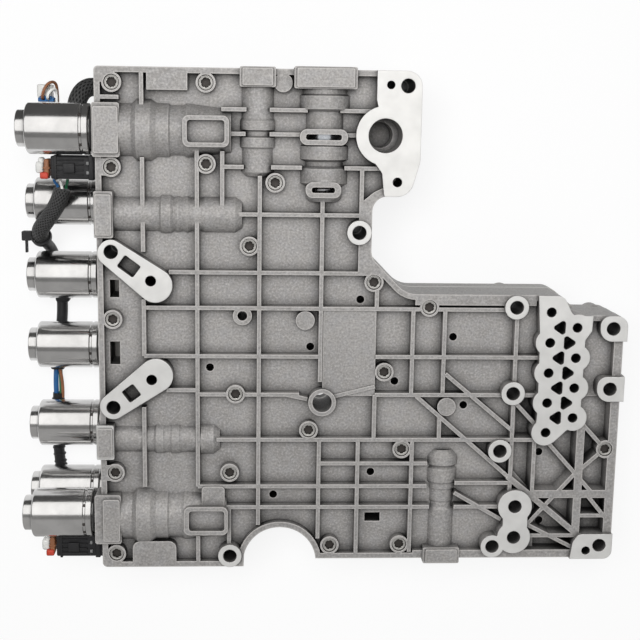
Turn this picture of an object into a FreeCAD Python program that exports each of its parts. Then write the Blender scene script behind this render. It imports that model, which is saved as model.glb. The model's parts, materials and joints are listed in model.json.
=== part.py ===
import FreeCAD, Part
import math
import os

# A two-storey transmission valve body: an upper casting with a ribbed face, a steel separator plate,
# a lower casting, eight solenoid cartridges at the left end, five spring-loaded spool valves in the
# humps of the upper casting, the bolts that clamp the stack and the wiring that hangs on the cartridges.
# Millimetres. X runs along the long side, Y across it, Z up from the face that the part rests on.

Vec = FreeCAD.Vector
X_AXIS = Vec(1, 0, 0)
Z_AXIS = Vec(0, 0, 1)
ORIGIN = Vec(0, 0, 0)

# Heights from the rest face up
cartridge_clearance = 10.0
can_r = 15.0
row_pitch = 48.0
skirt_depth = 13.5
deck_thickness = 8.0
plate_thickness = 2.0
upper_thickness = 31.0
rib_height = 6.0
pad_height = 3.0
deep_pocket_depth = 11.0
web_thickness = 8.0
upper_axis_depth = 10.0

lower_axis_z = cartridge_clearance + can_r
upper_cartridge_z = lower_axis_z + row_pitch
front_z = upper_cartridge_z + 12.0
upper_bottom_z = front_z - upper_thickness
lower_top_z = upper_bottom_z - plate_thickness
skirt_z = lower_top_z - skirt_depth
deck_z = lower_top_z - deck_thickness
floor_z = front_z - rib_height
pad_z = front_z + pad_height
valve_axis_z = front_z - upper_axis_depth
rib_root_z = front_z - deep_pocket_depth - 3.0

# Outline of the castings
left_x = -132.0
right_x = 185.5
lug_x = 187.0
top_y = 147.0
bottom_y = -151.0
bottom_left_y = -156.0
flange_x = 57.3
notch_x = 30.0
shoulder_y = 16.0
lug_top_y = 3.8
lower_right_x = 189.0
arch_x = -23.0
arch_y = -153.0
arch_r = 22.5
band_width = 3.4

# Ribs
rib_width = 2.4
wide_rib = 5.0
rib_draft = 0.9
column_a = -105.0
column_b = -73.3
column_c = -36.5
column_d = 0.5
column_e = 23.5
column_f = 34.0
column_g = 56.3
column_h = 75.6
column_k = 119.6
column_m = 133.8
column_n = 162.5
row_a = 123.6
row_b = 109.6
row_c = 90.5
row_d = 62.8
row_e = 28.2
row_f = 6.8
row_g = -22.6
row_h = -46.2
row_k = -74.5
row_m = -104.2
row_n = -117.6

# Webs beside the outline at the level of the ribs
ledge_width = 4.0
notch_web_corners = [(22.4, 28.0, 0.0), (45.0, 28.0, 0.0), (45.0, 79.3, 0.0), (36.2, 79.3, 0.0), (30.6, 76.6, 0.0),
                     (24.6, 71.6, 0.0), (22.4, 70.0, 0.0)]
wall_fills = [(-131.0, -122.0, 138.0, 146.0), (-131.0, -123.0, 84.6, 94.4), (-131.0, -123.5, -100.4, -90.6),
              (-131.0, -123.5, -155.0, -147.5)]

# Clamp bolts
bolt_r = 2.5
bolt_head_r = 4.2
bolt_head_height = 4.2
bolt_socket_r = 2.5
bolt_socket_depth = 2.6
bolt_boss_r = 5.75
bolt_fit = 0.3
bolt_seat_depth = 5.0
bolt_engagement = 13.0
bolt_places = [
    (-122.0, 138.0), (-68.0, 138.5), (-123.0, 89.5), (-68.0, 92.0), (-27.5, 81.5), (-42.5, 44.0),
    (32.0, 23.0), (66.0, 8.0), (-50.5, -46.0), (39.5, -32.0), (-54.0, -95.5), (-6.0, -68.5),
    (51.5, -80.5), (8.0, -142.5), (51.5, -142.0), (-123.5, -0.5), (-123.5, -95.5), (-123.5, -147.5),
    (178.5, -80.5),
]

# Bolt holes that take the body into its case
case_hole_r = 4.2
case_boss_r = 7.2
case_foot_r = 7.2
case_boss_drop = 6.0
arm_hole_x = -123.5
arm_hole_y = (40.3, -53.7)
arm_port_x = -100.5
arm_port_y = (23.2, -36.6)
arm_port_r = 3.2
arm_end_r = 7.2
arm_lobe_r = 11.0
arm_pockets = [(7.6, 11.6, 8.4), (9.7, 8.6, 8.6)]
edge_hole_x = 178.2
edge_hole_y = (-3.9, -41.5)
ring_places = [(118.5, 8.7), (118.5, -44.5), (111.9, -80.9), (-53.7, -148.1), (22.4, 52.9)]
foot_bolts = [(-53.7, -148.1), (22.4, 52.9)]
rest_pad_r = 7.0
rest_pads = [(0.0, 0.0), (51.5, -128.0), (51.5, -20.0)]
waist_pad = [(122.9, -116.6, 10.6), (122.9, -136.7, 10.4), (109.6, -142.6, 7.2)]
corner_hole = (177.3, -142.1)
corner_port = (169.0, -145.5)
corner_port_r = 2.7
tube_boss = (1.9, -50.4)
tube_boss_r = 8.4
tube_hole_r = 5.9
plain_boss = (-46.5, 2.2)
plain_boss_r = 5.7
plain_hole_r = 2.9

# Case flange with the large feed port
port_x = 36.5
port_y = 109.7
port_r = 10.0
port_floor_r = 7.8
port_depth = 24.0
port_pad_r = 17.2
flange_hole = (49.0, 138.4)
flange_hole_r = 4.5
flange_port = (39.0, 138.8)
flange_port_r = 2.4
flange_low_hole = (44.1, 82.8)
flange_low_r = 2.8

# Port plate with two columns of feed holes
feed_left_x = 139.7
feed_right_x = 156.0
feed_pitch = 18.75
feed_top_y = 6.0
feed_hole_r = 3.0
feed_depth = 14.0
feed_slot_tip = 5.2
feed_slot_back = 3.3
feed_slot_half = 5.6
feed_slot_r = 1.7

# Drilled oil holes in the floor
drill_r = 2.4
drill_depth = 12.0
drill_places = [
    (24.5, 11.7), (-5.4, -17.5), (-66.1, -30.6), (46.6, -38.8), (81.8, -11.0), (89.7, -53.8),
    (33.1, -96.6), (-27.2, -111.2), (139.5, -85.3), (141.8, -130.3),
]

# Spool valves in the upper casting: mouth, direction in degrees, bore radius, block at the mouth
# (length, half width, height), lands (stem before it, length) as shares of the free bore, and hump
# steps (station, radius); what the lands leave of the free bore holds the spring
land_gap = 0.04
spool_stem_share = 0.55
stop_gap = 0.3
plug_length = 6.0
plug_gap = 0.05
plug_ring = 1.2
spring_gap = 0.3
spring_wire = 1.1
spring_turns = 5
spring_sides = 12
bore_end_wall = 1.6
ring_station = 1.0
ring_thickness = 1.2
ring_gap = 0.05
ring_groove = 0.8
ring_width = 2.0
ring_opening = 5.0

VALVES = {
    "line_valve": {
        "mouth": (-133.0, 62.0), "turn": 0.0, "bore_r": 7.0, "block": (11.0, 13.6, 7.5), "length": 86.0,
        "lands": ((0.0, 0.185), (0.158, 0.132), (0.158, 0.132)),
        "hump": ((11.0, 10.9), (37.5, 10.9), (39.0, 12.1), (44.0, 12.1), (46.0, 10.8), (48.5, 11.6),
                 (51.0, 10.8), (54.0, 11.6), (56.5, 10.8), (62.0, 10.8), (64.0, 11.3), (82.0, 11.3),
                 (86.0, 9.0)),
    },
    "torque_valve": {
        "mouth": (-134.0, -75.6), "turn": 0.0, "bore_r": 6.0, "block": (10.5, 10.7, 7.0), "length": 74.0,
        "lands": ((0.0, 0.188), (0.251, 0.157)),
        "hump": ((10.5, 9.0), (34.0, 9.0), (35.5, 10.0), (39.5, 10.0), (40.5, 9.4), (44.0, 9.4),
                 (45.0, 10.0), (49.0, 10.0), (50.0, 9.4), (56.0, 9.2), (61.0, 9.2), (62.5, 10.4),
                 (70.0, 10.4), (74.0, 7.6)),
    },
    "boost_valve": {
        "mouth": (-38.0, 148.0), "turn": -90.0, "bore_r": 6.0, "block": (11.5, 10.4, 6.5), "length": 63.0,
        "lands": ((0.0, 0.208), (0.227, 0.171)),
        "hump": ((11.5, 10.2), (29.5, 10.2), (31.0, 11.1), (36.0, 11.1), (37.0, 9.2), (39.5, 9.2),
                 (40.5, 11.1), (46.0, 11.1), (47.0, 9.8), (56.0, 9.8), (57.5, 10.4), (60.5, 10.4),
                 (63.0, 8.0)),
    },
    "pressure_valve": {
        "mouth": (1.2, 148.5), "turn": -90.0, "bore_r": 9.0, "block": (12.5, 18.2, 8.5), "length": 78.0,
        "lands": ((0.0, 0.221), (0.147, 0.177), (0.118, 0.118)),
        "hump": ((12.5, 13.7), (15.5, 13.7), (16.5, 15.2), (24.0, 15.2), (25.5, 11.6), (38.0, 11.6),
                 (44.0, 11.6), (45.5, 14.7), (53.0, 14.7), (54.5, 11.8), (57.0, 11.8), (58.5, 14.5),
                 (67.0, 14.5), (69.0, 11.4), (76.0, 11.4), (78.0, 9.5)),
    },
    "lockup_valve": {
        "mouth": (77.8, -154.0), "turn": 90.0, "bore_r": 5.5, "block": (10.2, 11.4, 5.5), "length": 72.0,
        "lands": ((0.0, 0.194), (0.259, 0.162)),
        "hump": ((10.2, 8.8), (34.0, 8.8), (35.5, 7.9), (38.5, 7.9), (39.5, 8.4), (46.5, 8.4),
                 (47.5, 8.9), (50.5, 8.9), (52.0, 10.0), (60.0, 10.0), (61.5, 8.6), (63.0, 10.2),
                 (68.0, 10.2), (72.0, 7.0)),
    },
}

# Solenoid cartridges
cap_r = 10.8
cap_length = 5.7
front_can_length = 36.8
back_can_length = 39.0
neck_r = 12.4
neck_length = 2.2
nose_r = 9.0
nose_length = 26.0
nose_tip_r = 6.5
nose_tip_length = 8.0
nose_gap = 0.06
can_notch_depth = 1.0
can_notch_length = 2.0
lower_face_x = -136.0
cartridge_boss_r = 14.6
cartridge_boss_length = 58.0
ridge_r = 10.4
ridge_land_r = 11.6
ridge_land_pitch = 14.0
ridge_land_length = 7.0
ridge_ends = [-2.0, 8.0, 14.0, 14.0, 14.0, -52.0]
upper_cartridges = [("1", 110.9, -133.5), ("2", -124.6, -136.0)]
collar_length = 16.0
crown_starts = [1.0, 5.2]
lower_cartridge_y = [111.0, 64.8, 17.9, -27.8, -80.0, -124.6]
lower_neck_steps = [0.0, 0.0, 0.6, 1.0, 1.4, 1.9]
cartridge_hump = ((13.4, 15.1), (14.6, 16.4), (22.6, 16.4), (25.5, 18.9), (33.5, 18.9), (37.0, 16.7),
                  (44.0, 16.7), (45.0, 15.7), (52.5, 15.7), (54.5, 16.8), (66.0, 15.5), (80.0, 14.0))
frame_half_length = 13.4
frame_half_width = 9.0
frame_wall = 2.6
frame_floor_drop = 5.0
window_lift = 5.5

# Slots over the pressure valve
slot_rows = [(0.5, 108.4, 13.9, 4.6, 10.4, 1.6), (0.6, 77.8, 10.4, 4.6, 6.8, 1.6)]
slot_lift = 4.4

# Separator plate and what it holds
ball_r = 3.0
ball_places = [(-20.0, 36.0), (92.0, -6.0), (60.0, -32.0), (-90.0, -62.0)]
ball_seat_gap = 0.3
dowel_r = 4.0
dowel_depth = 8.0
dowel_gap = 0.03
dowel_places = [(-20.0, 139.0), (98.0, -30.0)]

# Tracks on the plate side of the upper casting
track_pitch_x = 27.0
track_pitch_y = 22.0
track_wall = 4.0
track_depth = upper_thickness - rib_height - web_thickness

# Wiring
loom_r = 5.6
side_loom_r = 5.2
trunk_r = 3.6
wire_r = 0.9
connector_depth = 14.7
connector_height = 18.0
connector_gap = 0.3
tie_thickness = 1.3
tie_width = 4.0
TOP_LOOM = [(-157.1, 111.8, 49.0), (-151.7, 111.8, 49.0), (-147.9, 115.6, 49.0), (-147.7, 127.0, 48.6),
            (-143.4, 135.2, 43.0), (-136.6, 136.2, 31.5), (-124.0, 134.8, 30.6), (-107.3, 134.8, 30.6)]
SIDE_LOOM = [(-156.5, 74.4, 54.0), (-157.8, 69.0, 53.5), (-162.5, 61.0, 50.0), (-168.5, 53.5, 46.5),
             (-174.0, 46.5, 41.5), (-173.8, 42.0, 30.0)]
TRUNK = [(-173.8, 42.0, 30.0), (-173.62, 37.95, 19.65), (-171.6, 32.0, 8.0), (-168.2, 18.0, 5.0),
         (-165.9, -4.0, 5.2), (-168.3, -28.0, 5.0), (-170.3, -54.0, 5.2), (-171.2, -80.0, 5.0),
         (-171.6, -104.0, 5.0), (-168.8, -127.0, 4.6), (-164.2, -141.5, 10.5), (-159.5, -148.8, 24.0),
         (-157.0, -149.0, 43.0), (-157.0, -149.0, 54.7)]
TOP_WIRES = [[(-166.0, 128.2, 57.3), (-166.0, 128.2, 61.0), (-164.5, 133.5, 62.5), (-161.5, 137.8, 60.5),
              (-158.5, 138.0, 55.0), (-158.5, 132.0, 50.0), (-158.5, 126.3, 50.0)],
             [(-163.0, 128.2, 57.3), (-163.0, 128.2, 60.5), (-161.5, 132.5, 61.0), (-158.6, 134.5, 57.5),
              (-158.5, 131.0, 53.6), (-158.5, 126.3, 53.6)]]
SIDE_WIRES = [[(-160.5, 80.6, 58.5), (-160.5, 79.1, 58.5), (-158.8, 76.9, 55.55), (-158.8, 75.42, 55.55)],
              [(-156.5, 80.6, 60.0), (-156.5, 79.1, 60.0), (-156.1, 76.2, 56.85), (-156.1, 74.65, 56.85)],
              [(-152.4, 80.6, 58.5), (-152.4, 79.1, 58.5), (-154.2, 76.0, 53.25), (-154.2, 74.5, 53.25)]]


def rounded_face(corners):
    """A flat face from corners (x, y, fillet radius), with each corner rounded by a tangent arc."""
    count = len(corners)
    edges = []
    ends = []
    for i in range(count):
        before = Vec(*corners[i - 1][:2], 0)
        here = Vec(*corners[i][:2], 0)
        after = Vec(*corners[(i + 1) % count][:2], 0)
        to_before = (before - here).normalize()
        to_after = (after - here).normalize()
        radius = corners[i][2]
        half = to_before.getAngle(to_after) / 2
        if radius <= 0:
            ends.append((here, here))
            continue
        reach = radius / math.tan(half)
        start = here + to_before * reach
        end = here + to_after * reach
        bisector = (to_before + to_after).normalize()
        middle = here + bisector * (radius / math.sin(half) - radius)
        edges.append(Part.Arc(start, middle, end).toShape())
        ends.append((start, end))
    for i in range(count):
        start = ends[i][1]
        end = ends[(i + 1) % count][0]
        if start.distanceToPoint(end) > 1e-6:
            edges.append(Part.LineSegment(start, end).toShape())
    wire = Part.Wire(Part.__sortEdges__(edges))
    return Part.Face(wire)


def prism(face, low, high):
    """The face at z = 0 pulled up between two heights."""
    lifted = face.copy()
    lifted.translate(Vec(0, 0, low))
    return lifted.extrude(Vec(0, 0, high - low))


def block(x0, x1, y0, y1, low, high, radius=0.0):
    corners = [(x0, y0, radius), (x1, y0, radius), (x1, y1, radius), (x0, y1, radius)]
    return prism(rounded_face(corners), low, high)


def disc(x, y, radius, low, high):
    return Part.makeCylinder(radius, high - low, Vec(x, y, low), Z_AXIS)


def fused(shapes):
    """One clean solid from overlapping shapes."""
    whole = shapes[0].multiFuse(shapes[1:])
    return whole.removeSplitter()


def group(shapes):
    return Part.makeCompound(shapes)


def rib(x0, y0, x1, y1, width=rib_width, top=front_z):
    """A straight cast rib whose sides lean out by the draft towards its root."""
    length = math.hypot(x1 - x0, y1 - y0)
    top_half = width / 2
    root_half = top_half + rib_draft
    profile = Part.makePolygon([
        Vec(0, -root_half, rib_root_z), Vec(0, root_half, rib_root_z),
        Vec(0, top_half, top), Vec(0, -top_half, top), Vec(0, -root_half, rib_root_z),
    ])
    bar = Part.Face(profile).extrude(Vec(length, 0, 0))
    bar.rotate(ORIGIN, Z_AXIS, math.degrees(math.atan2(y1 - y0, x1 - x0)))
    bar.translate(Vec(x0, y0, 0))
    return bar


def half_turned(steps, height):
    """The upper half of a turned form along +X from steps (station, radius), its axis at a height."""
    points = [Vec(steps[0][0], 0, 0)]
    points += [Vec(station, radius, 0) for station, radius in steps]
    points += [Vec(steps[-1][0], 0, 0), Vec(steps[0][0], 0, 0)]
    face = Part.Face(Part.makePolygon(points))
    form = face.revolve(ORIGIN, X_AXIS, 180)
    form.translate(Vec(0, 0, height))
    return form


def turned(steps):
    """A full turned form along +X from steps (station, radius)."""
    points = [Vec(steps[0][0], 0, 0)]
    points += [Vec(station, radius, 0) for station, radius in steps]
    points += [Vec(steps[-1][0], 0, 0), Vec(steps[0][0], 0, 0)]
    return Part.Face(Part.makePolygon(points)).revolve(ORIGIN, X_AXIS, 360)


def stepped(lands):
    """Station and radius pairs of a turned form from (start, end, radius) stretches that touch."""
    steps = []
    for start, end, radius in lands:
        steps += [(start, radius), (end, radius)]
    return steps


def placed(shape, mouth, turn, height=0.0):
    """A shape drawn along +X from the origin, turned about Z and moved to its mouth."""
    moved = shape.copy()
    moved.rotate(ORIGIN, Z_AXIS, turn)
    moved.translate(Vec(mouth[0], mouth[1], height))
    return moved


def upper_outline():
    corners = [
        (left_x, top_y, 2.5), (flange_x, top_y, 9.0), (flange_x, 95.0, 14.0), (51.5, 74.3, 10.0),
        (notch_x, 74.3, 9.0), (notch_x, 38.0, 10.0), (notch_x + 21.5, shoulder_y, 16.0),
        (147.0, shoulder_y, 6.0), (153.0, lug_top_y, 5.0), (lug_x, lug_top_y, 7.0),
        (lug_x, edge_hole_y[0] - 7.8, 0.0), (right_x, edge_hole_y[0] - 7.8, 0.0),
        (right_x, edge_hole_y[1] + 8.0, 0.0), (lug_x, edge_hole_y[1] + 8.0, 0.0),
        (lug_x, edge_hole_y[1] - 7.8, 0.0), (right_x, edge_hole_y[1] - 7.8, 0.0),
        (right_x, bottom_y, 5.5), (arch_x, bottom_y, 0.0), (arch_x, bottom_left_y, 0.0),
        (left_x, bottom_left_y, 3.0),
    ]
    return rounded_face(corners)


def lower_outline():
    corners = [
        (left_x, top_y, 2.5), (flange_x, top_y, 9.0), (flange_x, 95.0, 14.0), (51.5, 74.3, 10.0),
        (notch_x, 74.3, 9.0), (notch_x, 38.0, 10.0), (notch_x + 21.5, shoulder_y, 16.0),
        (147.0, shoulder_y, 10.0), (163.0, lug_top_y - 1.0, 6.0), (lower_right_x, lug_top_y - 1.0, 8.0),
        (lower_right_x, bottom_y, 6.0), (arch_x, bottom_y, 0.0), (arch_x, bottom_left_y, 0.0),
        (left_x, bottom_left_y, 3.0),
    ]
    return rounded_face(corners)


def arch_cut(radius=arch_r):
    return disc(arch_x, arch_y, radius, -1.0, pad_z + 1.0)


def case_holes():
    """Every hole that a case bolt passes through, as (x, y)."""
    places = list(ring_places)
    places += [(x, y) for x, y, radius in waist_pad]
    places += [(edge_hole_x, y) for y in edge_hole_y]
    places += [(arm_hole_x, y) for y in arm_hole_y]
    places += [corner_hole, flange_hole]
    return places


def rib_network():
    ribs = [
        rib(column_a, top_y - 2, column_a, row_a + 2), rib(column_a, row_c + 5, column_a, row_e + 12),
        rib(column_a, row_f + 5, column_a, row_g), rib(column_a - 0.5, row_h - 8, column_a - 0.5, row_m),
        rib(column_b, row_c + 11, column_b, row_m), rib(column_b, -136.0, column_b, bottom_left_y + 2),
        rib(column_b + 14.8, row_c + 9, column_b + 14.8, row_d),
        rib(column_c, row_c - 5, column_c, -129.0), rib(column_d, row_d + 9, column_d, row_h + 8),
        rib(column_d, row_k, column_d, -138.0), rib(column_e, row_c, column_e, row_e),
        rib(column_f, row_e - 9, column_f, row_f), rib(column_f, row_h, column_f, row_k),
        rib(column_e + 0.9, row_k, column_e + 0.9, bottom_y + 2),
        rib(column_g, row_f, column_g, row_h + 1), rib(column_g + 1.5, row_k, column_g + 1.5, bottom_y + 4),
        rib(column_h, row_f, column_h, row_h), rib(column_h - 1.4, row_h - 14, column_h - 1.4, row_k),
        rib(column_k, 2.0, column_k, -110.0), rib(column_m, row_k + 2, column_m, -110.0),
        rib(column_n, row_k + 10, column_n, -136.0, wide_rib),
        rib(column_b + 19.0, row_n, column_b + 19.0, -142.0),
        rib(-59.0, row_a, column_c - 8, row_a), rib(-31.0, row_a, -9.0, row_a), rib(10.0, row_a, 30.0, row_a),
        rib(-56.0, row_b, -45.0, row_b), rib(-31.0, row_b, -12.0, row_b), rib(13.0, row_b, 21.0, row_b),
        rib(column_b + 14.8, row_c, -46.0, row_c), rib(-30.0, row_c, -12.0, row_c),
        rib(13.0, row_c, 36.0, row_c), rib(-50.0, row_d, notch_x - 2, row_d),
        rib(-90.0, row_e, notch_x + 4, row_e), rib(column_a, row_f, column_f, row_f),
        rib(column_f, row_f, 61.0, row_f), rib(71.0, row_f, 112.0, row_f),
        rib(column_a, row_g, column_d, row_g), rib(column_f, row_g, 134.0, row_g),
        rib(-92.0, row_h + 2.6, column_b, row_h + 2.6), rib(column_b, row_h, -12.0, row_h),
        rib(column_f, row_h, 134.0, row_h), rib(-62.0, row_k, 134.0, row_k),
        rib(column_b, row_m, column_h - 8, row_m), rib(column_d, -89.6, column_h - 8, -89.6),
        rib(-58.0, row_n, column_h - 6, row_n), rib(85.0, row_n, 116.0, row_n),
        rib(85.0, -102.2, column_k, -102.2), rib(column_m, -109.5, right_x - 3, -109.5, wide_rib),
        rib(130.0, -136.6, 164.0, -136.6), rib(column_n, -123.6, right_x - 3, -123.6),
        rib(left_x + 2, 129.6, -118.0, 129.6),
        rib(59.5, -47.0, 118.0, -98.0), rib(118.0, -98.0, 162.0, -134.5, wide_rib - 1.4),
        rib(77.0, -33.0, 120.0, -69.0), rib(118.0, -48.0, 135.0, -66.0), rib(142.0, -76.0, 172.0, -109.0),
        rib(175.0, row_k - 8.5, 159.5, -97.0), rib(159.5, -97.0, 130.0, -131.0), rib(163.0, row_k + 10.5, 176.0, row_k - 3.5),
        rib(85.0, -108.5, 115.0, -126.0), rib(131.0, -129.0, 162.0, -145.0), rib(169.0, -110.5, 181.0, -125.0),
        rib(-7.0, -49.0, -20.0, row_h), rib(8.0, -47.5, column_f, -41.0),
    ]
    return ribs


def ring_bosses():
    bosses = [disc(x, y, bolt_boss_r, rib_root_z, front_z) for x, y in bolt_places]
    bosses += [disc(x, y, case_boss_r, rib_root_z, pad_z) for x, y in ring_places]
    bosses.append(disc(*plain_boss, plain_boss_r, rib_root_z, front_z))
    bosses.append(disc(*tube_boss, tube_boss_r, rib_root_z, pad_z))
    bosses.append(disc(-8.8, -0.6, plain_boss_r, rib_root_z, front_z - 1))
    bosses.append(disc(78.5, -53.9, plain_boss_r, rib_root_z, front_z - 1))
    return bosses


def mounting_arm(hole_y, port_y_here, pocket):
    """The machined arm that runs from a case bolt at the left edge to an oil port."""
    run = Vec(arm_port_x - arm_hole_x, port_y_here - hole_y, 0)
    length = run.Length
    turn = math.degrees(math.atan2(run.y, run.x))
    side = 1.0 if port_y_here < hole_y else -1.0
    lobe_x = length + arm_lobe_r * 0.25
    corners = [
        (-arm_end_r, -arm_end_r, arm_end_r - 0.1), (lobe_x + arm_lobe_r, -arm_lobe_r, arm_lobe_r - 1.0),
        (lobe_x + arm_lobe_r, arm_lobe_r, arm_lobe_r - 1.0), (-arm_end_r, arm_end_r, arm_end_r - 0.1),
    ]
    arm = prism(rounded_face(corners), rib_root_z, pad_z)
    pocket_start, pocket_length, pocket_width = pocket
    arm = arm.cut(block(pocket_start, pocket_start + pocket_length, -pocket_width / 2, pocket_width / 2,
                        floor_z - 2, pad_z + 1, 1.2))
    arm.translate(Vec(0, -side * 0.6, 0))
    return placed(arm, (arm_hole_x, hole_y), turn)


def waist_pad_form():
    """The machined pad round three case bolts at the lower right."""
    (ax, ay, ar), (bx, by, br), (cx, cy, cr) = waist_pad
    bridge = block(bx - 7.2, bx + 8.2, by, ay, rib_root_z, pad_z)
    link = rib(bx, by + 2, cx, cy, 9.0, pad_z)
    discs = [disc(x, y, radius, rib_root_z, pad_z) for x, y, radius in waist_pad]
    return [bridge, link] + discs


def corner_pad():
    face = rounded_face([
        (159.0, bottom_y, 0.0), (160.5, -140.0, 4.0), (164.0, -134.8, 4.0), (right_x, -134.8, 0.0),
        (right_x, bottom_y, 5.5),
    ])
    return prism(face, rib_root_z, pad_z)


def edge_lug(y):
    half = 8.0
    face = rounded_face([
        (edge_hole_x - half, y - half, half - 0.2), (lug_x, y - half + 0.2, 0.0),
        (lug_x, y + half - 0.3, 6.5 if y > -20 else 0.0), (edge_hole_x - half, y + half - 0.3, half - 2.0),
    ])
    return prism(face, rib_root_z, pad_z)


def case_flange():
    """The machined flange at the upper right with the large feed port."""
    face = rounded_face([
        (notch_x + 1.0, top_y, 0.0), (flange_x, top_y, 9.0), (flange_x, 95.0, 14.0), (51.5, 74.3, 10.0),
        (36.5, 74.3, 1.5), (35.0, 88.0, 3.0), (29.0, 96.0, 0.0), (33.0, 122.0, 0.0), (31.0, 130.0, 1.0),
    ])
    return [prism(face, rib_root_z, pad_z), disc(port_x, port_y, port_pad_r, rib_root_z, pad_z)]


def feed_holes():
    """Centres of the round feed holes: five on the left column, four half a pitch lower on the right."""
    left = [(feed_left_x, feed_top_y - i * feed_pitch) for i in range(5)]
    right = [(feed_right_x, feed_top_y - (i + 0.5) * feed_pitch) for i in range(4)]
    return left + right


def port_plate():
    """The machined port plate with its wavy edges, one swell beside each hole."""
    body = rounded_face([
        (131.5, shoulder_y, 0.0), (147.0, shoulder_y, 6.0), (153.0, lug_top_y, 5.0), (165.4, lug_top_y, 0.0),
        (165.0, -5.5, 2.0), (161.2, -11.0, 2.0), (160.6, -66.0, 4.0), (153.0, -67.0, 5.0), (143.0, -77.0, 6.0), (133.0, -73.0, 5.0),
        (134.0, -55.0, 4.0), (133.4, -10.0, 4.0),
    ])
    swells = [disc(x + (0.5 if x > 150 else -0.6), y, 8.2, rib_root_z, pad_z) for x, y in feed_holes()[1:]]
    return [prism(body, rib_root_z, pad_z)] + swells


def feed_slots():
    """The rounded triangular feed holes that lie between the round ones."""
    slots = []
    middle_x = (feed_left_x + feed_right_x) / 2
    for i in range(7):
        points_left = i % 2 == 0
        y = feed_top_y - (i + 1) * feed_pitch / 2
        x = middle_x - 2.4 if points_left else middle_x + 3.6
        sense = -1.0 if points_left else 1.0
        back_x = x - sense * feed_slot_back
        face = rounded_face([
            (x + sense * feed_slot_tip, y, feed_slot_r), (back_x, y + feed_slot_half, feed_slot_r),
            (back_x, y - feed_slot_half, feed_slot_r),
        ])
        slots.append(prism(face, pad_z - feed_depth, pad_z + 1))
    return slots


def valve_hump(valve):
    """The hump round a spool bore with the squared block at its mouth."""
    inset, half_width, height = valve["block"]
    hump = half_turned(valve["hump"], valve_axis_z)
    collar = block(0.0, inset, -half_width, half_width, rib_root_z, front_z + height - 4.0, 1.0)
    crown = block(0.8, inset - 0.8, -half_width + 1.6, half_width - 1.6, rib_root_z, front_z + height - 2.6, 1.0)
    return [placed(form, valve["mouth"], valve["turn"]) for form in (hump, collar, crown)]


def valve_bore(valve):
    """The blind bore of a spool valve with its wider mouth for the end plug."""
    depth = valve["length"] - bore_end_wall
    bore_r = valve["bore_r"]
    mouth_r = bore_r + plug_ring
    groove_end = ring_station + ring_thickness + 2 * ring_gap
    steps = stepped([(-1.0, ring_station, mouth_r), (ring_station, groove_end, mouth_r + ring_groove),
                     (groove_end, plug_end(), mouth_r), (plug_end(), depth, bore_r)])
    return placed(turned(steps), valve["mouth"], valve["turn"], valve_axis_z)


def plug_end():
    """Station of the shoulder that an end plug seats against."""
    return ring_station + ring_thickness + 2 * ring_gap + plug_length


def upper_cartridge_hump(y, face_x, crown_start):
    """The swollen hump over a cartridge in the upper casting with its mouth block and window frame."""
    offset = face_x + 133.5
    hump = half_turned(cartridge_hump, upper_cartridge_z)
    collar = block(0.0, collar_length, -15.6, 15.6, rib_root_z, front_z + 2.4, 1.5)
    crown = block(crown_start, collar_length - 0.6, -13.4, 13.4, rib_root_z, front_z + 4.4, 1.5)
    forms = [placed(form, (face_x, y), 0.0) for form in (hump, collar, crown)]
    frame_x = -67.8 + offset * 0.2
    frame_block = block(frame_x - frame_half_length, frame_x + frame_half_length, y - frame_half_width,
                        y + frame_half_width, rib_root_z, front_z + window_lift, 3.6)
    return forms + [frame_block]


def window_pocket(y):
    frame_x = -67.8
    return block(frame_x - frame_half_length + frame_wall, frame_x + frame_half_length - frame_wall,
                 y - frame_half_width + frame_wall, y + frame_half_width - frame_wall,
                 front_z + window_lift - frame_floor_drop, front_z + window_lift + 1, 1.8)


def cartridge_bore(length_extra=0.0):
    """The stepped blind bore that a cartridge nose fills, from the mounting face inwards."""
    steps = stepped([(-1.0, nose_length + 1.0, nose_r + nose_gap),
                     (nose_length + 1.0, nose_length + nose_tip_length + 2.0, nose_tip_r + 1.0)])
    return turned(steps)


def slot_pad(x, y, half_length, half_width):
    face = rounded_face([
        (x - half_length, y - half_width, half_width - 0.4), (x + half_length, y - half_width, half_width - 0.4),
        (x + half_length, y + half_width, half_width - 0.4), (x - half_length, y + half_width, half_width - 0.4),
    ])
    return prism(face, rib_root_z, front_z + slot_lift)


def slot_cut(x, y, half_length, half_width):
    face = rounded_face([
        (x - half_length, y - half_width, half_width - 0.2), (x + half_length, y - half_width, half_width - 0.2),
        (x + half_length, y + half_width, half_width - 0.2), (x - half_length, y + half_width, half_width - 0.2),
    ])
    return prism(face, valve_axis_z, front_z + slot_lift + 8)


def track_pockets():
    """Fluid tracks on the plate side: every grid cell that no bolt, bore or hole comes near."""
    pockets = []
    columns = int((right_x - left_x) / track_pitch_x)
    rows = int((top_y - bottom_y) / track_pitch_y)
    for i in range(columns):
        for j in range(rows):
            x0 = left_x + 6.0 + i * track_pitch_x
            y0 = bottom_y + 6.0 + j * track_pitch_y
            x1 = x0 + track_pitch_x - track_wall
            y1 = y0 + track_pitch_y - track_wall
            if track_is_free(x0, x1, y0, y1):
                pockets.append(block(x0, x1, y0, y1, upper_bottom_z - 1, upper_bottom_z + track_depth))
    return pockets


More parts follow.
